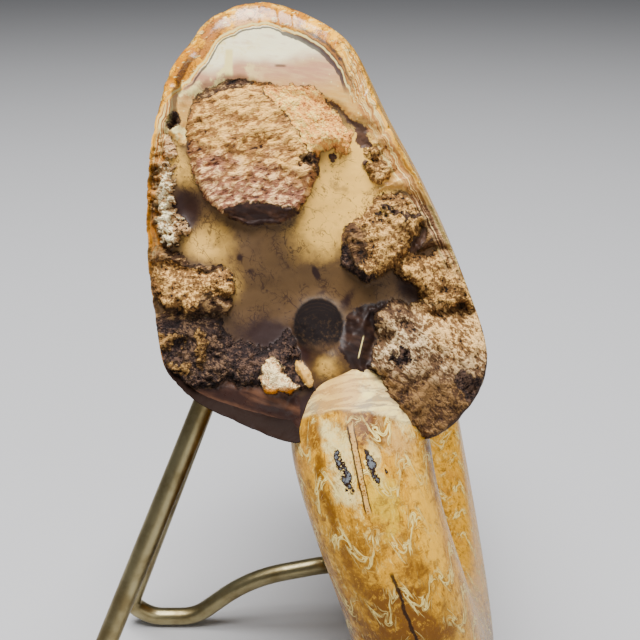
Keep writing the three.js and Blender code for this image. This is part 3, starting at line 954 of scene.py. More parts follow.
# pale patches on the chamber wall: painted light where it faces the lamp, in places the wall's own paler tone
PALE_TONES_AND_LIGHTS: tuple[Patch, ...] = (
    Patch(1.6, 16.0, 3.4, 6.6, -20, 1.15),
    Patch(6.4, 16.6, 3.2, 4.6, -20, 1.1),
    Patch(4.4, 20.6, 2.4, 3.0, -20, 0.8),
    Patch(-13.2, 9.6, 3.4, 3.0, -35, 0.75),
    Patch(-17.0, 18.6, 1.6, 4.0, 20, 1.0),
    Patch(0.6, 10.2, 4.0, 3.4, 0, 0.55),
    Patch(-10.6, 4.4, 1.4, 2.4, 0, 0.6),
    Patch(-15.2, 8.9, 2.4, 1.4, -20, 0.6),
    Patch(5.6, 15.6, 2.4, 2.6, 0, 1.0),
    Patch(0.9, -5.8, 2.0, 1.9, 0, 0.75),
)


class BrokenFace:
    """The relief of the broken end and what each spot of it is made of."""

    def __init__(self, seed: int) -> None:
        """Makes the noises that the face uses."""
        self.coarse, self.fine, self.rock = Lattice(seed), Lattice(seed + 1), Lattice(seed + 2)

    def _tooth(self, kind: Tooth, x: Array, y: Array) -> Array:
        """Relief of one way of breaking.

        Rough rock is ridges of 2 mm and less with lumps of 3.3 and 0.7 mm. Layered rock has
        them stretched along a line that climbs by 16 degrees, and fibrous rock along one
        that falls by 50.

        Args:
            kind: how the stone broke.
            x: places to the right, in millimetres.
            y: places up the face.

        Returns:
            The relief, about -1 to 1.
        """
        if kind is Tooth.SMOOTH:
            return self.coarse.cloud(x * 0.35, y * 0.35, 3)
        turn, stretch = TOOTH_RUN[kind]
        c, s = math.cos(math.radians(turn)), math.sin(math.radians(turn))
        u, v = (x * c + y * s) / stretch, -x * s + y * c
        u, v = u + 0.5 * self.coarse.noise(x * 0.7, y * 0.7), v + 0.5 * self.fine.noise(x * 0.7, y * 0.7)
        lumps = 0.26 * self.rock.facets(u * 0.3, v * 0.3, 1.5, 0.35)
        lumps += 0.16 * self.fine.facets(u * 1.5, v * 1.5, 1.8, 0.6)
        crags = 0.9 * (self.rock.ridges(u * 0.5, v * 0.5, 4, 0.72) - 0.45)
        return lumps + crags + 0.5 * self.coarse.cloud(x * 0.35, y * 0.35, 5, 0.65)

    def relief(self, x: Array, y: Array) -> tuple[Array, dict[Stuff, Array], Array]:
        """Works out the face.

        It starts from the smooth chamber wall. Each area then covers what lies under it: the
        height goes to the area's own by a smooth step of its signed distance, whose outline
        wanders by noise, and the area's stuff takes its place. The step is steep on lower
        edges and slow on upper ones.

        Args:
            x: places to the right, in millimetres.
            y: places up the face.

        Returns:
            The height out of the face, each stuff's signed distance, and how open to the
            light each spot is, from about -1 in a pit to 1 on a crest.
        """
        height = -0.6 - 0.5 * smoothstep(y, -12, -4) + sum(b.at(x, y) for b in SWELLS)
        height = height + 0.25 * self.coarse.cloud(x * 0.18, y * 0.18, 3)
        height = height + 0.02 * self.fine.cloud(x * 1.5, y * 1.5, 2)
        stuffs = {stuff: np.full(x.shape, -FAR) for stuff in Stuff}
        crest = np.zeros(x.shape)
        slow, quick = self.coarse.cloud, self.fine.cloud
        wander_x, wander_y = (
            slow(x * 0.5 + off, y * 0.5, 3) + 0.6 * quick(x * 1.7 + off, y * 1.7, 4, 0.65) for off in (0, 40)
        )
        teeth = {kind: self._tooth(kind, x, y) for kind in Tooth}
        for area in AREAS:
            outline = closed_curve(np.array(area.outline), 3)
            shift = 2.0 * area.ragged
            d, facing = inside_distance(x + shift * wander_x, y + shift * wander_y, outline)
            under = smoothstep(facing, -0.2, 0.8)
            cover = smoothstep(d, -0.15 * area.edge, area.edge * lerp(2.0, 0.7, under))
            crown = area.dome * (1 - np.exp(-((np.maximum(d, 0) / 3.2) ** 1.3)))
            middle = outline.mean(axis=0)
            lean = area.slope[0] * (x - middle[0]) + area.slope[1] * (y - middle[1])
            tooth = teeth[area.tooth]
            height = lerp(height, area.level + crown + lean + area.depth * tooth, cover)
            crest = lerp(crest, tooth * min(1.0, area.depth / 0.6), cover)
            # painted shadow: the crest number drops just below the lower edges of gold and grey rock
            if area.stuff in (Stuff.GOLD, Stuff.GREY):
                foot = np.exp(-(((d + 0.1) / 0.35) ** 2)) * smoothstep(facing, 0.0, 0.7)
                crest = crest - 0.45 / area.edge * foot
            for stuff, known in stuffs.items():
                stuffs[stuff] = np.maximum(known, d) if stuff is area.stuff else np.minimum(known, -d)
        knob = KNOB.at(x, y)
        rough_foot = smoothstep(knob, 0.2, 0.9) * smoothstep(-y, -0.4, 1.4)
        return height + knob + 0.3 * rough_foot * teeth[Tooth.GRANULAR], stuffs, crest


# ---- the shell
@dataclass
class AmmoniteShell:
    """The whole fossil: outer whorl, inner whorls and broken end, as one closed surface."""

    coil: Coil = field(default_factory=Coil)
    around: int = 96
    inner_around: int = 48
    face_cells: int = 240
    step: float = 3.0
    inner_step: float = 6.0
    first_angle: float = -1500.0
    coarse_from: float = -286.0
    blend_from: float = 314.0
    blend_rings: int = 30
    chamber: float = 12.0
    seam: float = 4.5
    hub: tuple[float, float] = (-1.0, 12.5)
    coarse_reach: float = 0.965
    rim_rings: tuple[float, ...] = (0.978, 0.987, 0.993, 0.997, 1.0)
    shrink: float = 0.16
    seed: int = 11

    def __post_init__(self) -> None:
        """Works out the sections, the rim and the noises."""
        self.sections = Sections(self.coil)
        self.face = BrokenFace(self.seed)
        self.noise = Lattice(self.seed + 7)

    @staticmethod
    def setback(y: Array) -> Array:
        """How far the polished top edge is rounded back from the face."""
        return 2.8 * smoothstep(y, 18.0, 38.0)

    @staticmethod
    def band(y: Array) -> Array:
        """How wide the polished band along the rim is, at a height up the face."""
        return 3.5 * smoothstep(y, 24.0, 33.0)

    def rim_angles(self, phi: Array) -> Array:
        """Where each direction of the broken section meets the face's plane, less the setback,
        found by halving the span from 330 to 440 degrees.

        Args:
            phi: directions from the section's middle.

        Returns:
            The coil angles, in degrees.
        """
        low, high = np.full(phi.shape, 330.0), np.full(phi.shape, 440.0)
        for _ in range(50):
            mid = (low + high) / 2
            _, y, n = self.coil.on_face(self.sections.ring(phi, mid, 1.0))
            past = n + self.setback(y) > 0
            high, low = np.where(past, mid, high), np.where(past, low, mid)
        return low

    def _tube(self) -> tuple[list[Array], list[Array], list[Array]]:
        """Rings of the spiral from its heart to the rim.

        Returns:
            For each ring, its points, its coil angles and its directions phi.
        """
        rings, angles, turns = [], [], []

        def add(phi: Array, theta: Array, blend: Array | float = 0.0, lift: Array | float = 0.0) -> None:
            """Adds one ring.

            Args:
                phi: directions from the section's middle.
                theta: coil angles.
                blend: how far the section has gone over to the break's.
                lift: millimetres outwards.
            """
            rings.append(self.sections.ring(phi, theta, blend, lift - self.shrink))
            angles.append(np.broadcast_to(theta, phi.shape).astype(float))
            turns.append(phi)

        inner = np.arange(self.inner_around) / self.inner_around * 2 * np.pi
        outer = np.arange(self.around) / self.around * 2 * np.pi
        for theta in np.arange(self.first_angle, self.coarse_from - 1, self.inner_step):
            add(inner, np.full(inner.shape, theta))
        for theta in np.arange(self.coarse_from, self.blend_from + 1e-6, self.step):
            add(outer, np.full(outer.shape, theta))
        end = self.rim_angles(outer)
        for k in range(1, self.blend_rings + 1):
            s = self.coarse_reach * k / self.blend_rings
            add(outer, self.blend_from + (end - self.blend_from) * s, float(smoothstep(s, 0, 1)))
        fine = np.arange(4 * self.face_cells) / (4 * self.face_cells) * 2 * np.pi
        end = self.rim_angles(fine)
        chip = self.noise.ridges(np.cos(fine) * 5, np.sin(fine) * 5, 4)
        for s in self.rim_rings:
            worn = -0.28 * smoothstep(s, 0.985, 1.0) * smoothstep(chip, 0.45, 0.9)
            add(fine, self.blend_from + (end - self.blend_from) * s, float(smoothstep(s, 0, 1)), worn)
        return rings, angles, turns

    @staticmethod
    def _between(firsts: Array) -> tuple[list[Array], list[Array]]:
        """Joins each ring to the next.

        Between rings of equal count each cell is a quad. Where the count rises by a whole
        number, each coarse edge is fanned to its fine ones.

        Args:
            firsts: the number of each ring's first vertex, and of the one after the last.

        Returns:
            The quads and the triangles.
        """
        quads, triangles = [], []
        for first, after, end in zip(firsts, firsts[1:], firsts[2:]):
            n, m = after - first, end - after
            i = np.arange(n)
            a, b = first + i, first + (i + 1) % n
            if n == m:
                quads.append(np.stack([a, a + n, b + n, b], axis=1))
                continue
            share = m // n
            for j in range(share):
                c, d = after + i * share + j, after + (i * share + j + 1) % m
                triangles.append(np.stack([a if 2 * j < share else b, c, d], axis=1))
                if j + 1 == (share + 1) // 2:
                    triangles.append(np.stack([a, d, b], axis=1))
        return quads, triangles

    def build(self) -> Surface:
        """Joins the tube, its heart and the face into one closed surface.

        Returns:
            The surface with its numbers and maps.
        """
        rings, angles, turns = self._tube()
        firsts = np.cumsum([0] + [len(r) for r in rings])
        quads, triangles = self._between(firsts)
        points = np.concatenate(rings)
        theta, phi = np.concatenate(angles), np.concatenate(turns)
        heart = len(points)
        hub = self.coil.point(0.0, self.coil.middle * self.coil.keel(self.first_angle), self.first_angle)
        i = np.arange(len(rings[0]))
        triangles.append(np.stack([np.full(i.shape, heart), i, (i + 1) % len(i)], axis=1))

        face = self._face_grid(rings[-1], firsts[-2], heart + 1)
        points = np.concatenate([points, hub[None], face["points"]])
        theta = np.concatenate([theta, [self.first_angle], np.full(len(face["points"]), 400.0)])
        phi = np.concatenate([phi, [0.0], np.zeros(len(face["points"]))])
        tube_quads, face_quads = np.concatenate(quads), face["quads"]
        tube_triangles = np.concatenate(triangles)

        tube = slice(0, heart + 1)
        rim_x, rim_y, rim_n = self.coil.on_face(points[tube])
        x = np.concatenate([rim_x, face["x"]])
        y = np.concatenate([rim_y, face["y"]])
        back = -np.maximum(-rim_n - self.setback(rim_y), 0.0)
        umbilical_shade = self._umbilical_shade(theta[tube], rim_x, rim_y, rim_n)
        floats = {
            "rim": np.concatenate([back, face["rim"]]),
            "band": np.concatenate([self.band(rim_y), face["band"]]),
            "crest": np.concatenate([np.zeros(heart + 1), face["crest"]]),
            # painted shade on the umbilical side; dark patches of stain and painted shadow; pale patches of
            # painted light
            "umbilical_shade": np.concatenate([umbilical_shade, np.zeros(len(face["x"]))]),
            "stain_and_shadow": np.clip(sum(patch.at(x, y) for patch in STAINS_AND_SHADOWS), 0, 1.5),
            "pale_tone_and_light": np.clip(sum(patch.at(x, y) for patch in PALE_TONES_AND_LIGHTS), 0, 1.5),
            "knob": KNOB.at(x, y),
        }
        for stuff, inside in face["stuffs"].items():
            spread = np.full(heart + 1, -FAR)
            spread[firsts[-2] : firsts[-1]] = face["rim_stuffs"][stuff]
            floats[stuff.value] = np.concatenate([spread, inside])

        along, flank = theta / self.chamber, self.seam * self.sections.half_length(phi)

        def whorl_map(cells: Array) -> Array:
            """The coiled outside's map, which goes on past the seam in a cell that lies over it.

            Args:
                cells: quads or triangles.

            Returns:
                The places of their corners, one row each.
            """
            t = flank[cells]
            over = np.ptp(t, axis=1, keepdims=True) > self.seam
            t = np.where(over & (t < 0), t + 2 * self.seam, t)
            return np.stack([along[cells], t], axis=-1).reshape(-1, 2)

        face_map = np.stack([x, y], axis=-1)[face_quads].reshape(-1, 2) / 10
        return Surface(
            points,
            np.concatenate([tube_quads, face_quads]),
            tube_triangles,
            floats,
            {"shell_map": np.concatenate([whorl_map(tube_quads), face_map, whorl_map(tube_triangles)])},
            np.repeat([0, 1, 0], [len(tube_quads), len(face_quads), len(tube_triangles)]),
        )

    @staticmethod
    def _umbilical_shade(theta: Array, x: Array, y: Array, n: Array) -> Array:
        """Painted shade on the umbilical side, over the shell's own dark brown: 1 at the break's lower
        left edge, fading over 16 mm back from the face."""
        near = smoothstep(n, -24.0, -8.0) * (theta > 300)
        return near * smoothstep(-y, 1.0, 5.0) * smoothstep(-x, -6.0, 1.0)

    def _face_grid(self, rim: Array, rim_first: int, first: int) -> dict:
        """The broken end as a round grid, spread from the hub to the rim.

        Args:
            rim: the rim's points, in even steps of phi.
            rim_first: the number of the rim's first vertex.
            first: the number that the grid's first inner vertex gets.

        Returns:
            Its inner points, quads, coordinates, rim distance, stuffs and crest.
        """
        n, count = self.face_cells, 4 * self.face_cells
        rim_x, rim_y, rim_n = self.coil.on_face(rim)
        r, phi = disc_grid(n)
        place = phi / (2 * np.pi) * count
        edge = r > 1 - 1e-9

        def outwards(values: Array) -> Array:
            """Numbers of the rim's vertices, read at each grid point's own direction."""
            return np.interp(place % count, np.arange(count + 1), np.append(values, values[0]))

        edge_x, edge_y, edge_n = outwards(rim_x), outwards(rim_y), outwards(rim_n)
        hub_x, hub_y = self.hub
        x, y = hub_x + (edge_x - hub_x) * r, hub_y + (edge_y - hub_y) * r

        ahead = np.stack([np.roll(v, -12) - np.roll(v, 12) for v in (rim_x, rim_y)], axis=1)
        spoke = np.stack([rim_x - hub_x, rim_y - hub_y], axis=1)
        across = np.abs(ahead[:, 0] * spoke[:, 1] - ahead[:, 1] * spoke[:, 0]) / np.linalg.norm(ahead, axis=1)
        rim_distance = (1 - r) * outwards(across)

        height, stuffs, crest = self.face.relief(x, y)
        band = self.band(edge_y)
        round_in = np.sqrt(np.clip(1 - (1 - np.clip(rim_distance / np.maximum(band, 0.6), 0, 1)) ** 2, 0, 1))
        meet = smoothstep(rim_distance, 0.0, 0.35 + 0.9 * band)
        height = lerp(edge_n, lerp(-0.45, height, meet), round_in)

        number = np.full(len(x), -1)
        number[edge] = rim_first + np.round(place[edge]).astype(int) % count
        number[~edge] = first + np.arange((~edge).sum())
        cell = number.reshape(n + 1, n + 1)
        quads = np.stack([cell[:-1, :-1], cell[:-1, 1:], cell[1:, 1:], cell[1:, :-1]], axis=-1).reshape(-1, 4)
        inner = ~edge
        order = np.argsort(np.round(place[edge]).astype(int) % count, kind="stable")
        rim_stuffs = {stuff: values[edge][order] for stuff, values in stuffs.items()}
        return {
            "points": self.coil.face_point(x[inner], y[inner], height[inner]),
            "quads": quads,
            "x": x[inner],
            "y": y[inner],
            "rim": rim_distance[inner],
            "band": (band - rim_distance)[inner],
            "stuffs": {stuff: values[inner] for stuff, values in stuffs.items()},
            "rim_stuffs": rim_stuffs,
            "crest": crest[inner],
        }

    def make(self, materials: list[bpy.types.Material]) -> bpy.types.Object:
        """Writes the fossil and ties it to its place in the frame.

        Args:
            materials: the polished shell's and the broken stone's.

        Returns:
            The new piece.
        """
        piece = self.build().to_object("ammonite_fossil", materials)
        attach(piece, "root")
        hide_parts("ammonite")
        return piece


# ---- finishes
@dataclass(frozen=True)
class Spot:
    """What the broken end's graph knows of a spot: its place in millimetres, how open to the
    light it is, and the noises, each about 0.5, that several of its stones share."""

    g: Graph
    at: Tint
    x: Signal
    y: Signal
    crest: Signal
    soft: Signal
    fine: Signal
    blotch: Signal
    grain: Signal
    layered: Signal
    slanted: Signal


@dataclass(frozen=True)
class Rock:
    """The three shades of a rough rock, lightest on its crests and darkest in its pits: painted
    light and shade from its relief, mixed with its own blotches and grain.
    """

    light: Shade
    middle: Shade
    dark: Shade

    def paint(self, spot: Spot, grain: Signal) -> Tint:
        """The rock's colour: its crest number, which is painted light on crests and painted shade in
        pits, and its blotches and grains add up to a level from dark to light.

        Args:
            spot: what is known of the spot.
            grain: the crisp noise that is this rock's relief.

        Returns:
            The colour.
        """
        level = spot.crest + (spot.blotch - 0.5) * 4.4 + (grain - 0.5) * 8.0
        colour = spot.g.mix(level.step(-1.1, -0.3), self.dark, self.middle)
        return spot.g.mix(level.step(0.2, 1.3), colour, self.light)


@dataclass(frozen=True)
class BrokenStone:
    """Finish of the broken end: chamber wall, pearly lining, and several kinds of rock."""

    # painted light on the chamber wall, in places its own paler tone
    wall_pale_and_lit: Shade = tone(230, 180, 84)
    wall_tan: Shade = tone(88, 65, 39)
    wall_brown: Shade = tone(64, 44, 26)
    # dark brown of stains, cracks and pits, also used for painted shadow
    stain_and_shadow: Shade = tone(36, 19, 17)
    pearl_blue: Shade = tone(251, 241, 196)
    pearl_mauve: Shade = tone(190, 138, 104)
    pearl_tan: Shade = tone(198, 147, 67)
    cream: Shade = tone(235, 215, 140)
    plug_upper: Rock = Rock(tone(230, 176, 92), tone(150, 104, 52), tone(54, 32, 18))
    plug_lower: Rock = Rock(tone(240, 192, 134), tone(152, 100, 74), tone(50, 25, 26))
    gold: Rock = Rock(tone(244, 190, 108), tone(132, 93, 49), tone(26, 16, 11))
    spill: Rock = Rock(tone(255, 214, 114), tone(236, 164, 80), tone(166, 98, 50))
    grey: Rock = Rock(tone(255, 240, 192), tone(168, 130, 86), tone(44, 31, 24))
    lobe: Rock = Rock(tone(226, 194, 144), tone(112, 82, 54), tone(25, 16, 12))
    lobe_foot: Rock = Rock(tone(130, 96, 56), tone(76, 51, 30), tone(25, 15, 10))
    brown_rock: Rock = Rock(tone(170, 132, 84), tone(78, 54, 36), tone(22, 13, 10))
    matrix: Rock = Rock(tone(88, 65, 51), tone(36, 24, 22), tone(14, 9, 9))
    chip: Rock = Rock(tone(255, 226, 166), tone(196, 150, 100), tone(60, 36, 24))
    cleft: Shade = tone(78, 54, 38)
    knob_dark: Shade = tone(15, 7, 6)
    umbilicus: Shade = tone(50, 32, 27)
    umbilicus_brown: Shade = tone(98, 66, 48)
    band_gold: Shade = tone(250, 178, 34)
    band_orange: Shade = tone(184, 112, 5)
    band_pink: Shade = tone(166, 103, 47)
    band_lilac: Shade = tone(236, 180, 124)
    seam_line: Shade = tone(45, 36, 42)

    def make(self) -> bpy.types.Material:
        """Builds the material.

        Each stuff's signed distance, moved a little by noise, is its mask. The chamber wall
        comes first and every other stuff is laid over it.

        Returns:
            The material.
        """
        g = Graph("broken_stone")
        across, up = g.map_parts("shell_map")
        x, y = across * 10.0, up * 10.0
        at = g.vector(x, y)
        spot = Spot(
            g,
            at,
            x,
            y,
            crest=g.attribute("crest"),
            soft=g.cloud(at, 0.16, 3.0, 0.5),
            fine=g.cloud(at, 1.7, 5.0, 0.72),
            blotch=g.cloud(at, 0.45, 3.0, 0.65),
            grain=g.cloud(at, 2.0, 2.6, 0.8, 0.15),
            layered=g.cloud(g.stretched(at, (0.55, 1.25, 1.0), -16.0), 1.4, 3.2, 0.76, 0.3),
            slanted=g.cloud(g.stretched(at, (0.75, 1.15, 1.0), 46.0), 1.9, 2.8, 0.8, 0.2),
        )
        wobble = (g.cloud(at, 1.6, 6.0, 0.7) - 0.5) * 1.3
        masks = {stuff: (g.attribute(stuff.value) + wobble).step(-0.06, 0.12) for stuff in Stuff}
        colour = self._wall(spot)
        for stuff, tint in (
            (Stuff.NACRE, self._pearl(spot)),
            (Stuff.MATRIX, self._matrix(spot)),
            (Stuff.WALL, self._shadow(spot)),
            (Stuff.PLUG, self._plug(spot, wobble)),
            (Stuff.GOLD, self._gold(spot)),
            (Stuff.GREY, self._lobe(spot)),
            (Stuff.CREAM, self._chip(spot, wobble)),
        ):
            colour = g.mix(masks[stuff], colour, tint)
        colour, band = self._rim(spot, self._knob(spot, colour))

        rough = masks[Stuff.CREAM]
        for stuff in (Stuff.GOLD, Stuff.GREY, Stuff.PLUG, Stuff.MATRIX):
            rough = rough.most(masks[stuff])
        smooth = 1.0 - rough
        low_wall = masks[Stuff.WALL] * y.step(-2.0, -5.0) * x.step(1.5, 0.5)
        knob = g.attribute("knob").step(0.2, 0.5)
        gloss = smooth * 0.3 + low_wall * 0.2 + band * 0.28
        relief = spot.grain + (spot.layered - spot.grain) * masks[Stuff.PLUG]
        relief = relief + (spot.slanted - spot.grain) * masks[Stuff.GREY] * x.step(2.0, 4.0)
        height = rough * relief * 1.9 + smooth * spot.fine * 0.05
        return g.principled(
            Base_Color=colour,
            Roughness=(0.8 - gloss + (spot.fine - 0.5) * 0.25).most(knob * 0.95),
            Coat_Weight=(low_wall * 0.12 + masks[Stuff.NACRE] * 0.12 + band * 0.3) * (1.0 - knob),
            Coat_Roughness=0.14,
            Specular_IOR_Level=0.2,
            Normal=g.bump(height, 1.0, 0.0004),
        )

    def _matrix(self, spot: Spot) -> Tint:
        """The dark rock: browner round the plug and at the granular block on the left.

        Args:
            spot: what is known of the spot.

        Returns:
            The colour.
        """
        x, y = spot.x, spot.y
        high = y.step(15.0, 17.0) * x.step(1.5, 0.5)
        high = high.most(y.step(-0.5, 1.0) * x.step(-9.0, -11.0))
        dark, brown = self.matrix.paint(spot, spot.grain), self.brown_rock.paint(spot, spot.layered)
        return spot.g.mix(high, dark, brown)

    def _shadow(self, spot: Spot) -> Tint:
        """The wall of the umbilicus and the smooth clefts, partly painted shade: dark, with painted sheen,
        painted light in the upper ones, a painted black shadow beside the knob, and one thread of cream.

        Args:
            spot: what is known of the spot.

        Returns:
            The colour.
        """
        g, x, y = spot.g, spot.x, spot.y
        # painted sheen: lighter brown streaks across the dark wall
        sheen = g.cloud(g.stretched(spot.at, (0.3, 1.2, 1.0), 22.0), 0.5, 4.0, 0.6)
        shadow = g.mix(sheen.step(0.42, 0.66), self.umbilicus, self.umbilicus_brown)
        # painted light: the upper clefts paler
        lit = y.step(15.5, 17.5).most(x.step(5.0, 7.0) * y.step(1.0, 4.0))
        shadow = g.mix(lit * (0.3 + sheen * 0.6), shadow, self.cleft)
        # painted shadow: near-black wedge beside the knob
        shadow = g.mix(x.step(1.5, 2.5) * y.step(4.0, 3.0) * 0.7, shadow, self.knob_dark)
        thread = abs(x - 4.98 - (y + 3.2) * 0.24).step(0.12, 0.03) * (1.5 - abs(y + 3.3)).step(0.0, 0.5)
        return g.mix(thread * 0.8, shadow, self.cream)

    def _plug(self, spot: Spot, wobble: Signal) -> Tint:
        """The layered rock: redder below than above, brown with painted shade at its foot, with golden
        rock spilling over its right side.

        Args:
            spot: what is known of the spot.
            wobble: what moves the stuffs' edges.

        Returns:
            The colour.
        """
        g, x, y = spot.g, spot.x, spot.y
        heave = y + (g.cloud(spot.at, 0.3, 5.0, 0.7) - 0.5) * 26.0 + (x + 8.0) * 0.25
        lower, upper = self.plug_lower.paint(spot, spot.layered), self.plug_upper.paint(spot, spot.layered)
        plug = g.mix(heave.step(13.0, 22.0), lower, upper)
        # painted shade along the plug's lower edge
        foot = (13.8 - y - (x + 7.0) * (x + 7.0) * 0.05 + wobble).step(0.0, 0.9)
        plug = g.times(foot * 0.8, plug, self.wall_brown)
        flow = (x + 4.5 - (28.5 - y) * 0.54 + (spot.blotch - 0.5) * 9.0).step(-2.0, 2.0)
        plug = g.mix(flow * y.step(18.5, 21.5) * 0.85, plug, self.spill.paint(spot, spot.slanted))
        return g.mix(x.step(2.0, 3.0), plug, self.lobe_foot.paint(spot, spot.layered))

    def _gold(self, spot: Spot) -> Tint:
        """The golden rock: duller to the right and at lower left, brightest under the keel.

        Args:
            spot: what is known of the spot.

        Returns:
            The colour.
        """
        x, y = spot.x, spot.y
        dull = x.step(1.0, 4.0) * 0.22 + y.step(0.6, -1.4) * x.step(-9.0, -11.0) * 0.7
        gold = spot.g.times(dull, self.gold.paint(spot, spot.grain), self.wall_brown)
        bright = y.step(18.0, 20.0) * x.step(6.0, 4.0)
        return spot.g.mix(bright, gold, self.spill.paint(spot, spot.slanted))

    def _chip(self, spot: Spot, wobble: Signal) -> Tint:
        """The cream chip, orange along its foot, which wobble moves as it does the edges."""
        foot = (-8.2 - spot.y + wobble).step(-0.3, 0.4) * spot.x.step(-12.0, -11.0)
        return spot.g.mix(foot, self.chip.paint(spot, spot.grain), self.band_orange)

    def _wall(self, spot: Spot) -> Tint:
        """The smooth chamber wall: khaki, with painted light where it faces the lamp, browner in random
        patches, painted shade towards the bottom, soft stains and painted shadows, pin-point specks and hair
        cracks.

        Args:
            spot: what is known of the spot.

        Returns:
            The colour.
        """
        g, at, x, y = spot.g, spot.at, spot.x, spot.y
        broad = g.cloud(at, 0.35, 5.0, 0.62)
        pale_tone_and_light = g.attribute("pale_tone_and_light") + (broad - 0.5) * 1.2
        # painted shade: the wall browner towards the bottom
        low = (y - (spot.soft - 0.5) * 8.0).step(3.0, -3.0)
        colour = g.mix(low * 0.7, self.wall_tan, self.wall_brown)
        # painted light: pale where the wall faces the lamp, in places its own paler tone
        shown = pale_tone_and_light.step(0.15, 1.0) * (1.0 - x.step(-7.0, -11.0) * 0.25)
        colour = g.mix(shown, colour, self.wall_pale_and_lit)
        colour = g.mix(broad.step(0.52, 0.66) * 0.45, colour, self.wall_brown)
        bend = g.cloud(g.stretched(at, (1.0, 0.45, 1.0), -35.0), 0.5, 3.0, 0.55, 0.7)
        other = g.cloud(at, 0.42, 4.0, 0.6, 1.2)
        crack = abs(bend - 0.5).step(0.018, 0.004).most(abs(other - 0.5).step(0.016, 0.003))
        crack = crack * g.cloud(at, 0.3, 2.0).step(0.42, 0.56)
        pins = g.grains(at, 1.8).step(0.24, 0.12) * g.cloud(at, 0.35, 3.0, 0.7).step(0.47, 0.55)
        colour = g.mix(crack.most(pins) * 0.65, colour, self.stain_and_shadow)
        # real stains, and painted shadow in hollows and under the plug
        stain_and_shadow = (g.attribute("stain_and_shadow") + (spot.fine - 0.5) * 0.5 + (broad - 0.5) * 0.9).step(0.15, 1.05)
        return g.mix(stain_and_shadow * 0.95, colour, self.stain_and_shadow)

    def _pearl(self, spot: Spot) -> Tint:
        """The pearly lining: palest by the keel, mauve and tan further in, with cream flecks.

        Args:
            spot: what is known of the spot.

        Returns:
            The colour.
        """
        g, at, x, y, soft = spot.g, spot.at, spot.x, spot.y, spot.soft
        place = y + (soft - 0.5) * 4.0 - abs(x + 8.0) * 0.1 + x.step(-9.0, -13.0) * 1.5
        colour = g.mix(place.step(25.5, 30.0), self.pearl_tan, self.pearl_mauve)
        colour = g.mix(place.step(30.2, 32.2), colour, self.pearl_blue)
        grain = g.cloud(g.stretched(at, (0.25, 1.4, 1.0), 8.0), 1.0, 5.0, 0.65)
        colour = g.mix(grain.step(0.42, 0.7) * 0.3, colour, self.cream)
        colour = g.mix(grain.step(0.46, 0.32) * 0.35, colour, self.pearl_mauve)
        fleck = g.cloud(at, 0.45, 5.0, 0.65).step(0.5, 0.6) * x.step(-5.5, -11.0)
        streak = abs(x + 11.1 + (soft - 0.5)).step(0.6, 0.3)
        streak = streak * y.step(29.3, 29.8) * y.step(33.0, 32.5)
        fleck = fleck.most(g.grains(at, 1.1).step(0.16, 0.08) * x.step(-5.0, -1.0) * 0.7)
        pit = abs(x + 4.8).step(0.9, 0.4) * abs(y - 30.7 - (soft - 0.5)).step(0.22, 0.08)
        colour = g.mix(pit * 0.7, colour, self.wall_brown)
        return g.mix(fleck.most(streak), colour, self.cream)

    def _lobe(self, spot: Spot) -> Tint:
        """The grey rock: pale and grainy above, brown and duller towards the foot of the
        lobe, pale by itself on the left, and dark brown below that.

        Args:
            spot: what is known of the spot.

        Returns:
            The colour.
        """
        g, x, y, slanted = spot.g, spot.x, spot.y, spot.slanted
        drift = y + (g.cloud(spot.at, 0.25, 5.0, 0.65) - 0.5) * 10.0
        lobe, foot = self.lobe.paint(spot, slanted), self.lobe_foot.paint(spot, slanted)
        lobe = g.mix(drift.step(-3.5, -7.5), lobe, foot)
        left = self.brown_rock.paint(spot, slanted)
        lobe = g.mix(drift.step(-1.8, 0.6) * x.step(12.5, 10.5) * 0.9, lobe, left)
        tan = (x - 11.0 + (y + 1.0) * 0.4).step(0.0, 3.0) * drift.step(-6.0, -3.0)
        lobe = g.mix(tan * 0.7, lobe, self.gold.paint(spot, slanted))
        left = g.mix(0.85, left, self.matrix.paint(spot, slanted))
        left = g.mix(y.step(0.0, 2.0), left, self.grey.paint(spot, spot.grain))
        return g.mix(x.step(2.0, 4.0), left, lobe)

    def _knob(self, spot: Spot, colour: Tint) -> Tint:
        """The dark end of the siphuncle, with fine arcs over its top and a speckled foot.

        Args:
            spot: what is known of the spot.
            colour: what lies round it.

        Returns:
            The colour with it.
        """
        g, at, y = spot.g, spot.at, spot.y
        off_x, off_y = spot.x + 0.3, y + 1.4
        reach = (off_x * off_x + off_y * off_y) ** 0.5
        arcs = (reach * 15.0 + (g.cloud(at, 1.5, 2.0) - 0.5) * 6.0).sine().step(0.6, 1.0)
        dark = g.mix(arcs * y.step(0.4, 1.6) * 0.15, self.knob_dark, self.wall_brown)
        speck = g.cloud(at, 1.3, 5.0, 0.8).step(0.5, 0.66) * y.step(2.4, -2.4)
        dark = g.mix(speck * 0.35, dark, self.wall_tan)
        foot = (-2.2 - y + (g.cloud(at, 0.8, 4.0, 0.7) - 0.5) * 3.0).step(0.0, 1.6)
        shown = (g.attribute("knob") + (g.cloud(at, 1.2, 4.0, 0.6) - 0.5) * 0.4).step(0.2, 0.5)
        return g.mix(shown * (1.0 - foot * 0.8), colour, dark)

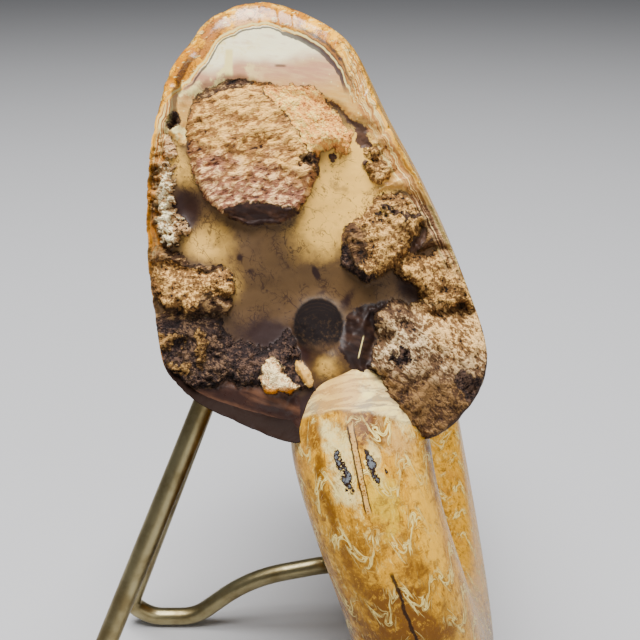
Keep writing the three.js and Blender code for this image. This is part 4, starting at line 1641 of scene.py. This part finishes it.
    def _rim(self, spot: Spot, colour: Tint) -> tuple[Tint, Signal]:
        """The polished band under the keel, and the thin layers of shell along the rim.

        Args:
            spot: what is known of the spot.
            colour: what lies inside them.

        Returns:
            The colour with them, and the band's mask.
        """
        g, at, x, y = spot.g, spot.at, spot.x, spot.y
        wave = (g.cloud(at, 0.5, 2.0, 0.5) - 0.5) * 0.9
        inside, rim = g.attribute("band") + wave * 0.7, g.attribute("rim") + wave * 0.5
        band = inside.step(-0.05, 0.12)
        along = g.cloud(at, 0.4, 3.0, 0.6)
        thread = g.cloud(g.vector(rim * 4.5, y * 0.16 + x * 0.08), 1.0, 5.0, 0.7, 0.5)
        layer = thread.step(0.45, 0.55)
        streaks = g.mix(layer, self.band_pink, self.pearl_tan)
        streaks = g.mix(thread.step(0.5, 0.57) * 0.9, streaks, self.cream)
        streaks = g.mix(rim.step(0.5, 0.2) * 0.8, streaks, self.band_gold)
        streaks = g.mix(thread.step(0.43, 0.37) * 0.85, streaks, self.wall_brown)
        low = y.step(18.0, 13.0) * x.step(5.0, 7.0)
        slip = g.mix(thread.step(0.48, 0.56), self.cleft, self.pearl_mauve)
        slip = g.mix(thread.step(0.54, 0.6).most(rim.step(0.4, 0.1)) * 0.8, slip, self.cream)
        streaks = g.mix(low * 0.9, streaks, slip)
        left = x.step(-12.0, -13.0)
        amber = g.mix(g.cloud(at, 0.7, 4.0, 0.65).step(0.42, 0.6), self.wall_brown, self.band_orange)
        streaks = g.mix(left * y.step(22.0, 18.0) * 0.8, streaks, amber)
        wide = 1.9 + x.step(0.0, 5.0) * y.step(12.0, 22.0) * 0.7
        shown = (wide - rim + (along - 0.5) * 2.0).step(0.0, 0.6) * y.step(3.0, 11.0)
        soft_edge = 0.9 - x.step(4.0, 7.0) * 0.15
        colour = g.mix(shown * (1.0 - left * y.step(6.0, 2.0)) * soft_edge, colour, streaks)
        purple = left * (0.6 - abs(rim - 1.7)).step(0.0, 0.3)
        purple = purple * y.step(22.0, 24.0) * y.step(33.0, 31.0)
        edge = y.step(-3.0, -7.0) * rim.step(0.5, 0.2)
        colour = g.mix(edge * 0.6, colour, self.stain_and_shadow)
        mottle = g.cloud(at, 0.5, 5.0, 0.65)
        gold = g.mix(mottle.step(0.44, 0.6), self.band_gold, self.band_orange)
        sway = x + wave * 2.0 + (mottle - 0.5) * 5.0
        for low, high, tint in (
            (-17.8, -15.0, self.band_orange),
            (-14.6, -11.6, self.band_pink),
            (-10.8, -7.2, self.band_lilac),
            (-6.8, -3.4, self.band_orange),
        ):
            patch = sway.step(low - 0.5, low + 0.5) * sway.step(high + 0.5, high - 0.5)
            patch = patch * inside.step(0.25, 0.65) * (3.0 - inside + wave).step(0.0, 0.5)
            gold = g.mix(patch * 0.85, gold, tint)
        fleck = g.cloud(g.stretched(at, (0.5, 1.6, 1.0), -12.0), 1.3, 4.0, 0.7)
        gold = g.mix(fleck.step(0.56, 0.64) * 0.8, gold, self.cream)
        gold = g.mix(fleck.step(0.42, 0.34) * 0.6, gold, self.wall_brown)
        gold = g.mix(x.step(1.0, 5.0) * 0.85, gold, streaks)
        split = abs(mottle - 0.5).step(0.014, 0.004).most(abs(along - 0.52).step(0.02, 0.006))
        gold = g.mix(split * 0.6, gold, self.wall_brown)
        colour = g.mix(band, colour, gold)
        near = x.step(5.0, 3.0)
        brown = near * x.step(-4.4, -1.4) * y.step(26.0, 29.0)
        brown = brown * (1.5 - inside + wave).step(0.0, 0.4) * inside.step(-0.5, 0.0)
        hatch = (inside * 9.0 + along * 3.0).sine().step(0.1, 0.8)
        colour = g.mix(brown * 0.85, colour, g.mix(hatch * 0.6, self.seam_line, self.band_pink))
        cream_line = abs(inside - 0.3).step(0.2, 0.06)
        thick = 0.16 + x.step(-6.0, -3.0) * 0.2
        dark_line = near * (thick - abs(inside + 0.2)).step(0.0, 0.1) * y.step(27.0, 29.0)
        colour = g.mix(cream_line * near * 0.8 * y.step(26.0, 28.0), colour, self.cream)
        colour = g.mix(purple * 0.8, colour, self.stain_and_shadow)
        return g.mix(dark_line * 0.85, colour, self.seam_line), band


@dataclass(frozen=True)
class Whorl:
    """What the polished shell's graph knows of a spot: s in chambers along the coil, t across
    the whorl, both as a vector, and a blotchy noise about 0.5."""

    g: Graph
    s: Signal
    t: Signal
    place: Tint
    mottle: Signal


@dataclass(frozen=True)
class PolishedShell:
    """Finish of the coiled outside: warm polished stone with frilled suture lines."""

    amber: Shade = tone(199, 143, 30)
    umber: Shade = tone(104, 65, 22)
    honey: Shade = tone(224, 168, 50)
    orange: Shade = tone(184, 128, 40)
    olive: Shade = tone(188, 156, 30)
    cream: Shade = tone(235, 214, 128)
    pearl: Shade = tone(216, 190, 128)
    pearl_grey: Shade = tone(148, 132, 100)
    rust: Shade = tone(84, 45, 8)
    clay: Shade = tone(188, 147, 84)
    chalk: Shade = tone(217, 197, 128)
    # painted shade on the umbilical side, deepening its own dark brown
    umbilical_shade: Shade = tone(30, 18, 13)
    vein: Shade = tone(32, 19, 14)
    hole: Shade = tone(95, 99, 103)

    @staticmethod
    def _sutures(s: Signal, t: Signal, lag: float) -> Signal:
        """Distance to the nearest suture, in chambers.

        s and t are pushed about by sines, each pair about half as wide as the one before,
        which folds a straight line into lobes and then into frills. The slopes of the folded
        s are carried along by the chain rule, and dividing by their length keeps every line
        as thin as the next.

        Args:
            s: chambers along the coil.
            t: place across the whorl.
            lag: where in a chamber the line lies.

        Returns:
            The distance, with lines of the next chamber kept apart.
        """
        u, v = s + lag, t
        us, ut, vs, vt = 1.0, 0.0, 0.0, 1.0
        for (reach, beat, shift), (turn, swing, late) in (
            ((0.24, 9.0, 0.4), (0.05, 20.0, 1.0)),
            ((0.09, 26.0, 1.9), (0.04, 34.0, 3.0)),
            ((0.04, 56.0, 2.0), (0.02, 60.0, 0.0)),
        ):
            angle = v * beat + shift
            push, slope = angle.sine() * reach, angle.cosine() * (reach * beat)
            u, us, ut = u + push, us + slope * vs, ut + slope * vt
            angle = u * swing + late
            push, slope = angle.sine() * turn, angle.cosine() * (turn * swing)
            v, vs, vt = v + push, vs + slope * us, vt + slope * ut
        steep = (us * us + ut * ut) ** 0.5
        fold = abs(u.fraction() - 0.5)
        return fold / steep.most(1.0) + fold.step(0.3, 0.4)

    @staticmethod
    def _spot(s: Signal, t: Signal, place: tuple[float, float], size: tuple[float, float]) -> Signal:
        """1 at a place of the coil, 0 a size away from it: 1 - the squared distance in sizes."""
        a, b = (s - place[0]) / size[0], (t - place[1]) / size[1]
        return 1.0 - a * a - b * b

    def make(self) -> bpy.types.Material:
        """Builds the material.

        The pattern lives on the shell's own map, s in chambers along the coil and t across
        the whorl, with the siphuncle's line at t = 0.

        Returns:
            The material.
        """
        g = Graph("polished_shell")
        s, t = g.map_parts("shell_map")
        at = g.point()
        place = g.vector(s, t)
        broad = g.cloud(at, 0.045, 3.0, 0.5)
        mottle = g.cloud(place, 1.5, 6.0, 0.78, 0.5)
        flake = g.cloud(g.stretched(place, (1.6, 4.0, 1.0)), 2.2, 6.0, 0.8, 0.4)
        fine = g.cloud(at, 1.4, 4.0, 0.65)
        sway = g.cloud(place, 1.6, 3.0) - 0.5

        body = g.mix((broad + (mottle - 0.5) * 0.6).step(0.38, 0.62), self.amber, self.umber)
        body = g.mix(mottle.step(0.5, 0.64) * 0.8, body, self.honey)
        body = g.mix(flake.step(0.49, 0.38) * 0.8, body, self.umber)
        body = g.mix(flake.step(0.54, 0.64) * 0.55, body, self.cream)
        body = g.mix(g.cloud(at, 0.16, 5.0, 0.65).step(0.54, 0.64) * 0.75, body, self.orange)
        ragged = (mottle - 0.5) * 3.0 + (flake - 0.5) * 1.5
        for spot, size, strength, tint in (
            ((4.42, 0.25), (0.5, 0.6), 0.95, self.rust),
            ((4.7, 0.9), (0.9, 0.5), 0.7, self.clay),
            ((5.0, -0.24), (1.0, 0.34), 0.9, self.chalk),
            ((5.1, 0.32), (0.5, 0.16), 0.7, self.chalk),
            ((5.9, 0.35), (0.75, 0.35), 0.6, self.olive),
            ((6.2, 1.1), (1.6, 0.4), 0.7, self.honey),
            ((5.2, -0.62), (1.2, 0.16), 0.8, self.rust),
            ((8.0, 0.1), (1.7, 1.0), 0.95, self.umber),
            ((6.6, -0.5), (0.7, 0.25), 0.7, self.umber),
            ((4.3, -0.7), (0.4, 0.3), 0.7, self.umber),
            ((6.9, 0.5), (0.9, 0.3), 0.5, self.umber),
            ((4.35, 1.0), (0.6, 0.3), 0.9, self.chalk),
            ((17.0, 2.8), (3.0, 1.0), 0.8, self.amber),
        ):
            blot = self._spot(s + sway * 0.5, t + sway * 0.3, spot, size) + ragged
            body = g.mix(blot.step(0.2, 0.9) * strength, body, tint)
        speck = g.cloud(at, 0.9, 4.0, 0.8, 0.6)
        body = g.mix(speck.step(0.48, 0.36) * 0.55, body, self.umber)
        body = g.mix(speck.step(0.54, 0.64) * 0.45, body, self.honey)

        near = self._sutures(s + sway * 0.25, t + sway * 0.2, 0.1)
        line = near.step(0.02, 0.008)
        shown = g.cloud(place, 1.1, 4.0).step(0.42, 0.56)
        colour = g.mix(near.step(0.08, 0.02) * shown * 0.55, body, self.umber)
        colour = g.mix(line * shown * 0.75, colour, self.cream)
        whorl = Whorl(g, s, t, place, mottle)
        colour = self._lining(whorl, self._siphuncle(whorl, colour))
        # painted shade on the umbilical side, which is also made rougher
        umbilical_shade = g.attribute("umbilical_shade") + (mottle - 0.5) * 0.6
        colour = g.mix(umbilical_shade.step(0.15, 0.6), colour, self.umbilical_shade)
        shade = g.attribute("umbilical_shade").step(0.1, 0.6)
        roughness = 0.26 + (fine - 0.5) * 0.16 + line * 0.08 + (flake - 0.5) * 0.2 + shade * 0.4
        return g.principled(
            Base_Color=colour,
            Roughness=roughness,
            Coat_Weight=0.03 - shade * 0.03,
            Coat_Roughness=0.1,
            Specular_IOR_Level=0.07,
            Normal=g.bump(fine * 0.7 + flake * 0.5 + line * 0.3, 0.3, 0.00015),
        )

    def _siphuncle(self, whorl: Whorl, colour: Tint) -> Tint:
        """The siphuncle's thin double line with its dotted filling, the holes worn through on
        both sides of it, and the crack further on.

        Args:
            whorl: what is known of the spot.
            colour: the shell's own.

        Returns:
            The colour with them.
        """
        g, s, t, place = whorl.g, whorl.s, whorl.t, whorl.place
        jog = (g.cloud(place, 3.0, 4.0, 0.65) - 0.5) * 0.06
        mid = t + jog
        run = s.step(4.3, 4.4) * s.step(5.92, 5.82)
        dots = g.grains(place, 26.0).step(0.5, 0.25)
        filling = g.mix(dots * whorl.mottle.step(0.36, 0.5), self.clay, self.umber)
        colour = g.mix((0.05 - abs(mid - 0.05)).step(0.0, 0.012) * run * 0.8, colour, filling)
        walls = abs(mid).step(0.02, 0.008).most(abs(mid - 0.09).step(0.014, 0.005)) * run
        crack_run = s.step(6.85, 6.95) * s.step(8.3, 8.15)
        crack = abs(mid - 0.12 - (s - 6.9) * 0.05 + jog * 2.0).step(0.045, 0.018) * crack_run
        colour = g.mix(walls.most(crack) * 0.92, colour, self.vein)
        ragged = (g.cloud(place, 6.0, 5.0, 0.75) - 0.5) * 11.0
        for spot, size in (
            ((5.14, -0.2), (0.34, 0.07)),
            ((5.16, 0.25), (0.26, 0.06)),
            ((5.28, 0.45), (0.06, 0.03)),
        ):
            worn = self._spot(s, t - (s - spot[0]) * 0.12, spot, size) + ragged
            colour = g.mix(worn.step(-0.3, 0.1), colour, self.vein)
            colour = g.mix(worn.step(0.7, 1.3), colour, self.hole)
        return colour

    def _lining(self, whorl: Whorl, colour: Tint) -> Tint:
        """The pearly band on the last of the inner whorl, where it runs under the break: up to
        s = 4.12 + 0.29 t + 0.1 t^2 chambers.

        Args:
            whorl: what is known of the spot.
            colour: the shell's own.

        Returns:
            The colour with it.
        """
        g, s, t, mottle = whorl.g, whorl.s, whorl.t, whorl.mottle
        edge = 4.12 + t * 0.29 + t * t * 0.1 - s + (mottle - 0.5) * 0.45
        side = (1.35 - abs(t) + (mottle - 0.5) * 1.6).step(-0.5, 0.2)
        streak = g.cloud(g.stretched(whorl.place, (5.0, 1.3, 1.0)), 1.4, 4.0, 0.65, 0.8)
        pearl = g.mix(streak.step(0.42, 0.56), self.pearl_grey, self.pearl)
        pearl = g.mix(streak.step(0.5, 0.66) * 0.8, pearl, self.cream)
        warm = self._spot(s, t, (3.5, -0.1), (0.9, 0.55)) + (mottle - 0.5) * 2.4
        pearl = g.mix(warm.step(0.0, 0.9) * 0.6, pearl, self.orange)
        pearl = g.mix(mottle.step(0.48, 0.62) * 0.5, pearl, self.clay)
        pearl = g.mix(abs(streak - 0.47).step(0.012, 0.0) * 0.6, pearl, self.umber)
        pearl = g.mix(edge.step(0.1, 0.02) * 0.5, pearl, self.vein)
        return g.mix(edge.step(0.0, 0.1) * s.step(1.5, 1.8) * side, colour, pearl)


@dataclass(frozen=True)
class BrightBrass:
    """Finish of the easel: bright pale gold wire with fine drawing marks."""

    pale: Shade = tone(160, 148, 110)
    worn: Shade = tone(122, 107, 72)

    def make(self) -> bpy.types.Material:
        """Builds the material: two shades by cloudy noise, and a fine rough grain.

        Returns:
            The material.
        """
        g = Graph("bright_brass")
        at = g.point()
        mottle, grain = g.cloud(at, 0.18, 4.0, 0.6), g.cloud(at, 3.0, 3.0, 0.6)
        return g.principled(
            Base_Color=g.mix(mottle.step(0.4, 0.68), self.pale, self.worn),
            Metallic=1.0,
            Roughness=0.34 + (grain - 0.5) * 0.16 + mottle.step(0.5, 0.75) * 0.1,
            Normal=g.bump(grain, 0.2, 0.00006),
        )


@dataclass(frozen=True)
class PaleFloor:
    """Finish of the floor."""

    shade: Shade = tone(175, 175, 177)

    def make(self) -> bpy.types.Material:
        """Builds the material: one pale shade, a little uneven in its gloss."""
        g = Graph("pale_floor")
        return g.principled(Base_Color=self.shade, Roughness=0.55 + (g.cloud(g.point(), 0.01) - 0.5) * 0.1)


# ---- the easel
@dataclass
class WireEasel:
    """One bent wire under the shell, with a short post on each arm."""

    diameter: float = 3.0
    sides: int = 20
    spacing: float = 0.7
    corners: tuple[tuple[tuple[float, float, float], float], ...] = (
        ((31.4, 16.2, 6.4), 0),
        ((29.6, 16.0, 1.63), 2.2),
        ((18.0, 16.0, 1.63), 3),
        ((12.2, 13.6, 7.0), 3),
        ((7.0, 7.4, 12.6), 3),
        ((-6.6, 7.4, 9.6), 10),
        ((-16.4, 7.4, 1.6), 2.6),
        ((-23.8, 7.4, 1.6), 1.8),
        ((-27.6, 7.4, 4.2), 2.0),
        ((-6.1, -3.0, 63.1), 4.6),
        ((-6.6, -11.5, 63.1), 4.6),
        ((-32.03, -30.4, 4.2), 2.0),
        ((-28.6, -30.4, 1.5), 1.8),
        ((-21.0, -30.4, 1.5), 2.6),
        ((-9.4, -30.4, 9.6), 10),
        ((6.2, -30.4, 12.6), 3),
        ((12.0, -30.0, 8.2), 3),
        ((17.2, -29.6, 1.63), 3),
        ((28.6, -29.0, 1.63), 2.2),
        ((30.4, -29.0, 6.6), 0),
    )
    posts: tuple[tuple[tuple[float, float, float], tuple[float, float, float]], ...] = (
        ((7.1, 7.4, 12.0), (7.5, 7.4, 24.0)),
        ((6.4, -30.4, 12.0), (7.1, -30.4, 24.0)),
    )

    def path(self) -> Array:
        """The wire's middle line: straight runs joined by bends.

        Each bend is a curve of degree two that leaves and meets its runs at the bend's reach
        from the corner, or at 0.47 of a short run.

        Returns:
            Its corners, one row each.
        """
        corner = np.array([c for c, _ in self.corners])
        reach = np.array([r for _, r in self.corners])
        before, after = np.diff(corner, axis=0)[:-1], np.diff(corner, axis=0)[1:]
        short = np.minimum(np.linalg.norm(before, axis=1), np.linalg.norm(after, axis=1)) * 0.47
        cut = np.minimum(reach[1:-1], short)[:, None]
        start, mid, end = corner[1:-1] - unit(before) * cut, corner[1:-1], corner[1:-1] + unit(after) * cut
        t = np.linspace(0, 1, 13)[None, :, None]
        bends = (1 - t) ** 2 * start[:, None] + 2 * t * (1 - t) * mid[:, None] + t * t * end[:, None]
        return np.concatenate([corner[:1], bends.reshape(-1, 3), corner[-1:]])

    def sweep(self, line: Array) -> Surface:
        """A round wire along a line, with rounded ends.

        The line is cut into even lengths. The section is a circle of radius R, and over the
        last R of each end it shrinks as the square root of 1 - (1 - distance / R)^2.

        Args:
            line: corners of the middle line, close together where it bends.

        Returns:
            The closed surface.
        """
        radius = self.diameter / 2
        lengths = np.concatenate([[0], np.cumsum(np.linalg.norm(np.diff(line, axis=0), axis=1))])
        whole = lengths[-1]
        cap = radius * (1 - np.cos(np.linspace(0, np.pi / 2, 8)))[1:]
        body = np.linspace(radius, whole - radius, max(3, round((whole - 2 * radius) / self.spacing)))
        stations = np.concatenate([cap[:-1], body, (whole - cap[:-1])[::-1]])
        middle, ahead, behind = (
            np.stack([np.interp(stations + off, lengths, line[:, k]) for k in range(3)], axis=1)
            for off in (0.0, self.spacing / 2, -self.spacing / 2)
        )
        tangent = unit(ahead - behind)
        side = unit(np.cross(tangent, np.array([-0.6, 0.6, 0.5])))
        top = np.cross(side, tangent)
        near_end = np.clip(np.minimum(stations, whole - stations) / radius, 0, 1)
        size = radius * np.sqrt(1 - (1 - near_end) ** 2)
        a = np.arange(self.sides) / self.sides * 2 * np.pi
        ring = np.cos(a)[None, :, None] * side[:, None] + np.sin(a)[None, :, None] * top[:, None]
        points = middle[:, None] + ring * size[:, None, None]
        count, n = len(stations), self.sides
        k, i = np.meshgrid(np.arange(count - 1), np.arange(n), indexing="ij")
        p, q = k * n + i, k * n + (i + 1) % n
        quads = np.stack([p, q, q + n, p + n], axis=-1).reshape(-1, 4)
        tips = np.stack([line[0], line[-1]])
        j = np.arange(n)
        last = (count - 1) * n
        triangles = np.concatenate([
            np.stack([np.full(n, count * n), (j + 1) % n, j], axis=1),
            np.stack([np.full(n, count * n + 1), last + j, last + (j + 1) % n], axis=1),
        ])
        return Surface(np.concatenate([points.reshape(-1, 3), tips]), quads, triangles)

    def make(self, brass: bpy.types.Material) -> bpy.types.Object:
        """Writes the easel and ties it to its place in the frame.

        Args:
            brass: the wire's material.

        Returns:
            The new piece.
        """
        parts = [self.sweep(self.path())] + [self.sweep(np.array(post)) for post in self.posts]
        first = np.cumsum([0] + [len(p.points) for p in parts])
        whole = Surface(
            np.concatenate([p.points for p in parts]),
            np.concatenate([p.quads + f for p, f in zip(parts, first)]),
            np.concatenate([p.triangles + f for p, f in zip(parts, first)]),
        )
        piece = whole.to_object("brass_wire_easel", [brass])
        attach(piece, "root")
        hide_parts("wire_easel")
        return piece


# ---- the studio
@dataclass
class Studio:
    """The camera, the soft lights and the floor."""

    eye: tuple[float, float, float] = (5.4, -141.6, 117.75)
    tilt: float = 22.0
    lens: float = 58.36
    floor_size: float = 6.0

    @staticmethod
    def put(data: bpy.types.ID, place: tuple[float, ...], turn: tuple[float, ...]) -> bpy.types.Object:
        """Links a new object that goes by its data's name.

        Args:
            data: a camera or a light.
            place: where it stands, in metres.
            turn: its angles about x, y and z.

        Returns:
            The object.
        """
        made = bpy.data.objects.new(data.name, data)
        made.location, made.rotation_euler = place, turn
        bpy.context.scene.collection.objects.link(made)
        return made

    def camera(self) -> None:
        """Sets the camera, level from side to side and looking down by the tilt."""
        data = bpy.data.cameras.new("studio_camera")
        data.lens, data.sensor_width, data.clip_start = self.lens, 36.0, 0.005
        place, turn = [c * MM for c in self.eye], (math.radians(90.0 - self.tilt), 0.0, 0.0)
        bpy.context.scene.camera = self.put(data, place, turn)

    def softbox(self, name: str, place: tuple[float, float, float], size: float, power: float) -> None:
        """Adds a square area light aimed at the middle of the object.

        Args:
            name: the light's name.
            place: where it stands, in metres.
            size: its side, in metres.
            power: in watts.
        """
        data = bpy.data.lights.new(name, "AREA")
        data.shape, data.size, data.energy = "SQUARE", size, power
        aim = unit(np.array([0.0, -0.01, 0.055]) - np.array(place))
        self.put(data, place, (math.acos(-aim[2]), 0.0, math.atan2(-aim[0], aim[1])))

    def lights(self) -> None:
        """A broad light overhead, a softer one before it, and an even pale surround."""
        self.softbox("overhead", (-0.05, -0.12, 0.75), 0.5, 18.2)
        self.softbox("front_fill", (0.35, -0.7, 0.35), 0.6, 1.9)
        world = bpy.data.worlds.new("surround")
        world.use_nodes = True
        backdrop = world.node_tree.nodes["Background"]
        backdrop.inputs["Color"].default_value = (0.86, 0.88, 0.92, 1.0)
        backdrop.inputs["Strength"].default_value = 0.16
        bpy.context.scene.world = world

    def floor(self, finish: bpy.types.Material) -> None:
        """Lays the floor, one square at height 0.

        Args:
            finish: its material.
        """
        half = self.floor_size / MM / 2
        points = np.array([[-half, -half, 0], [half, -half, 0], [half, half, 0], [-half, half, 0]])
        sheet = Surface(points, np.array([[0, 1, 2, 3]]), np.zeros((0, 3), dtype=int))
        sheet.to_object("floor", [finish])


def main() -> None:
    """Loads the frame, builds the camera, the fossil, the easel and the stage, and logs how many
    faces the fossil and the easel have."""
    logging.basicConfig(level=logging.INFO, format="%(name)s: %(message)s")
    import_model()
    studio = Studio()
    studio.camera()
    studio.lights()
    fossil = AmmoniteShell().make([PolishedShell().make(), BrokenStone().make()])
    log.info("%s has %d faces", fossil.name, len(fossil.data.polygons))
    easel = WireEasel().make(BrightBrass().make())
    log.info("%s has %d faces", easel.name, len(easel.data.polygons))
    studio.floor(PaleFloor().make())


if __name__ == "__main__":
    main()
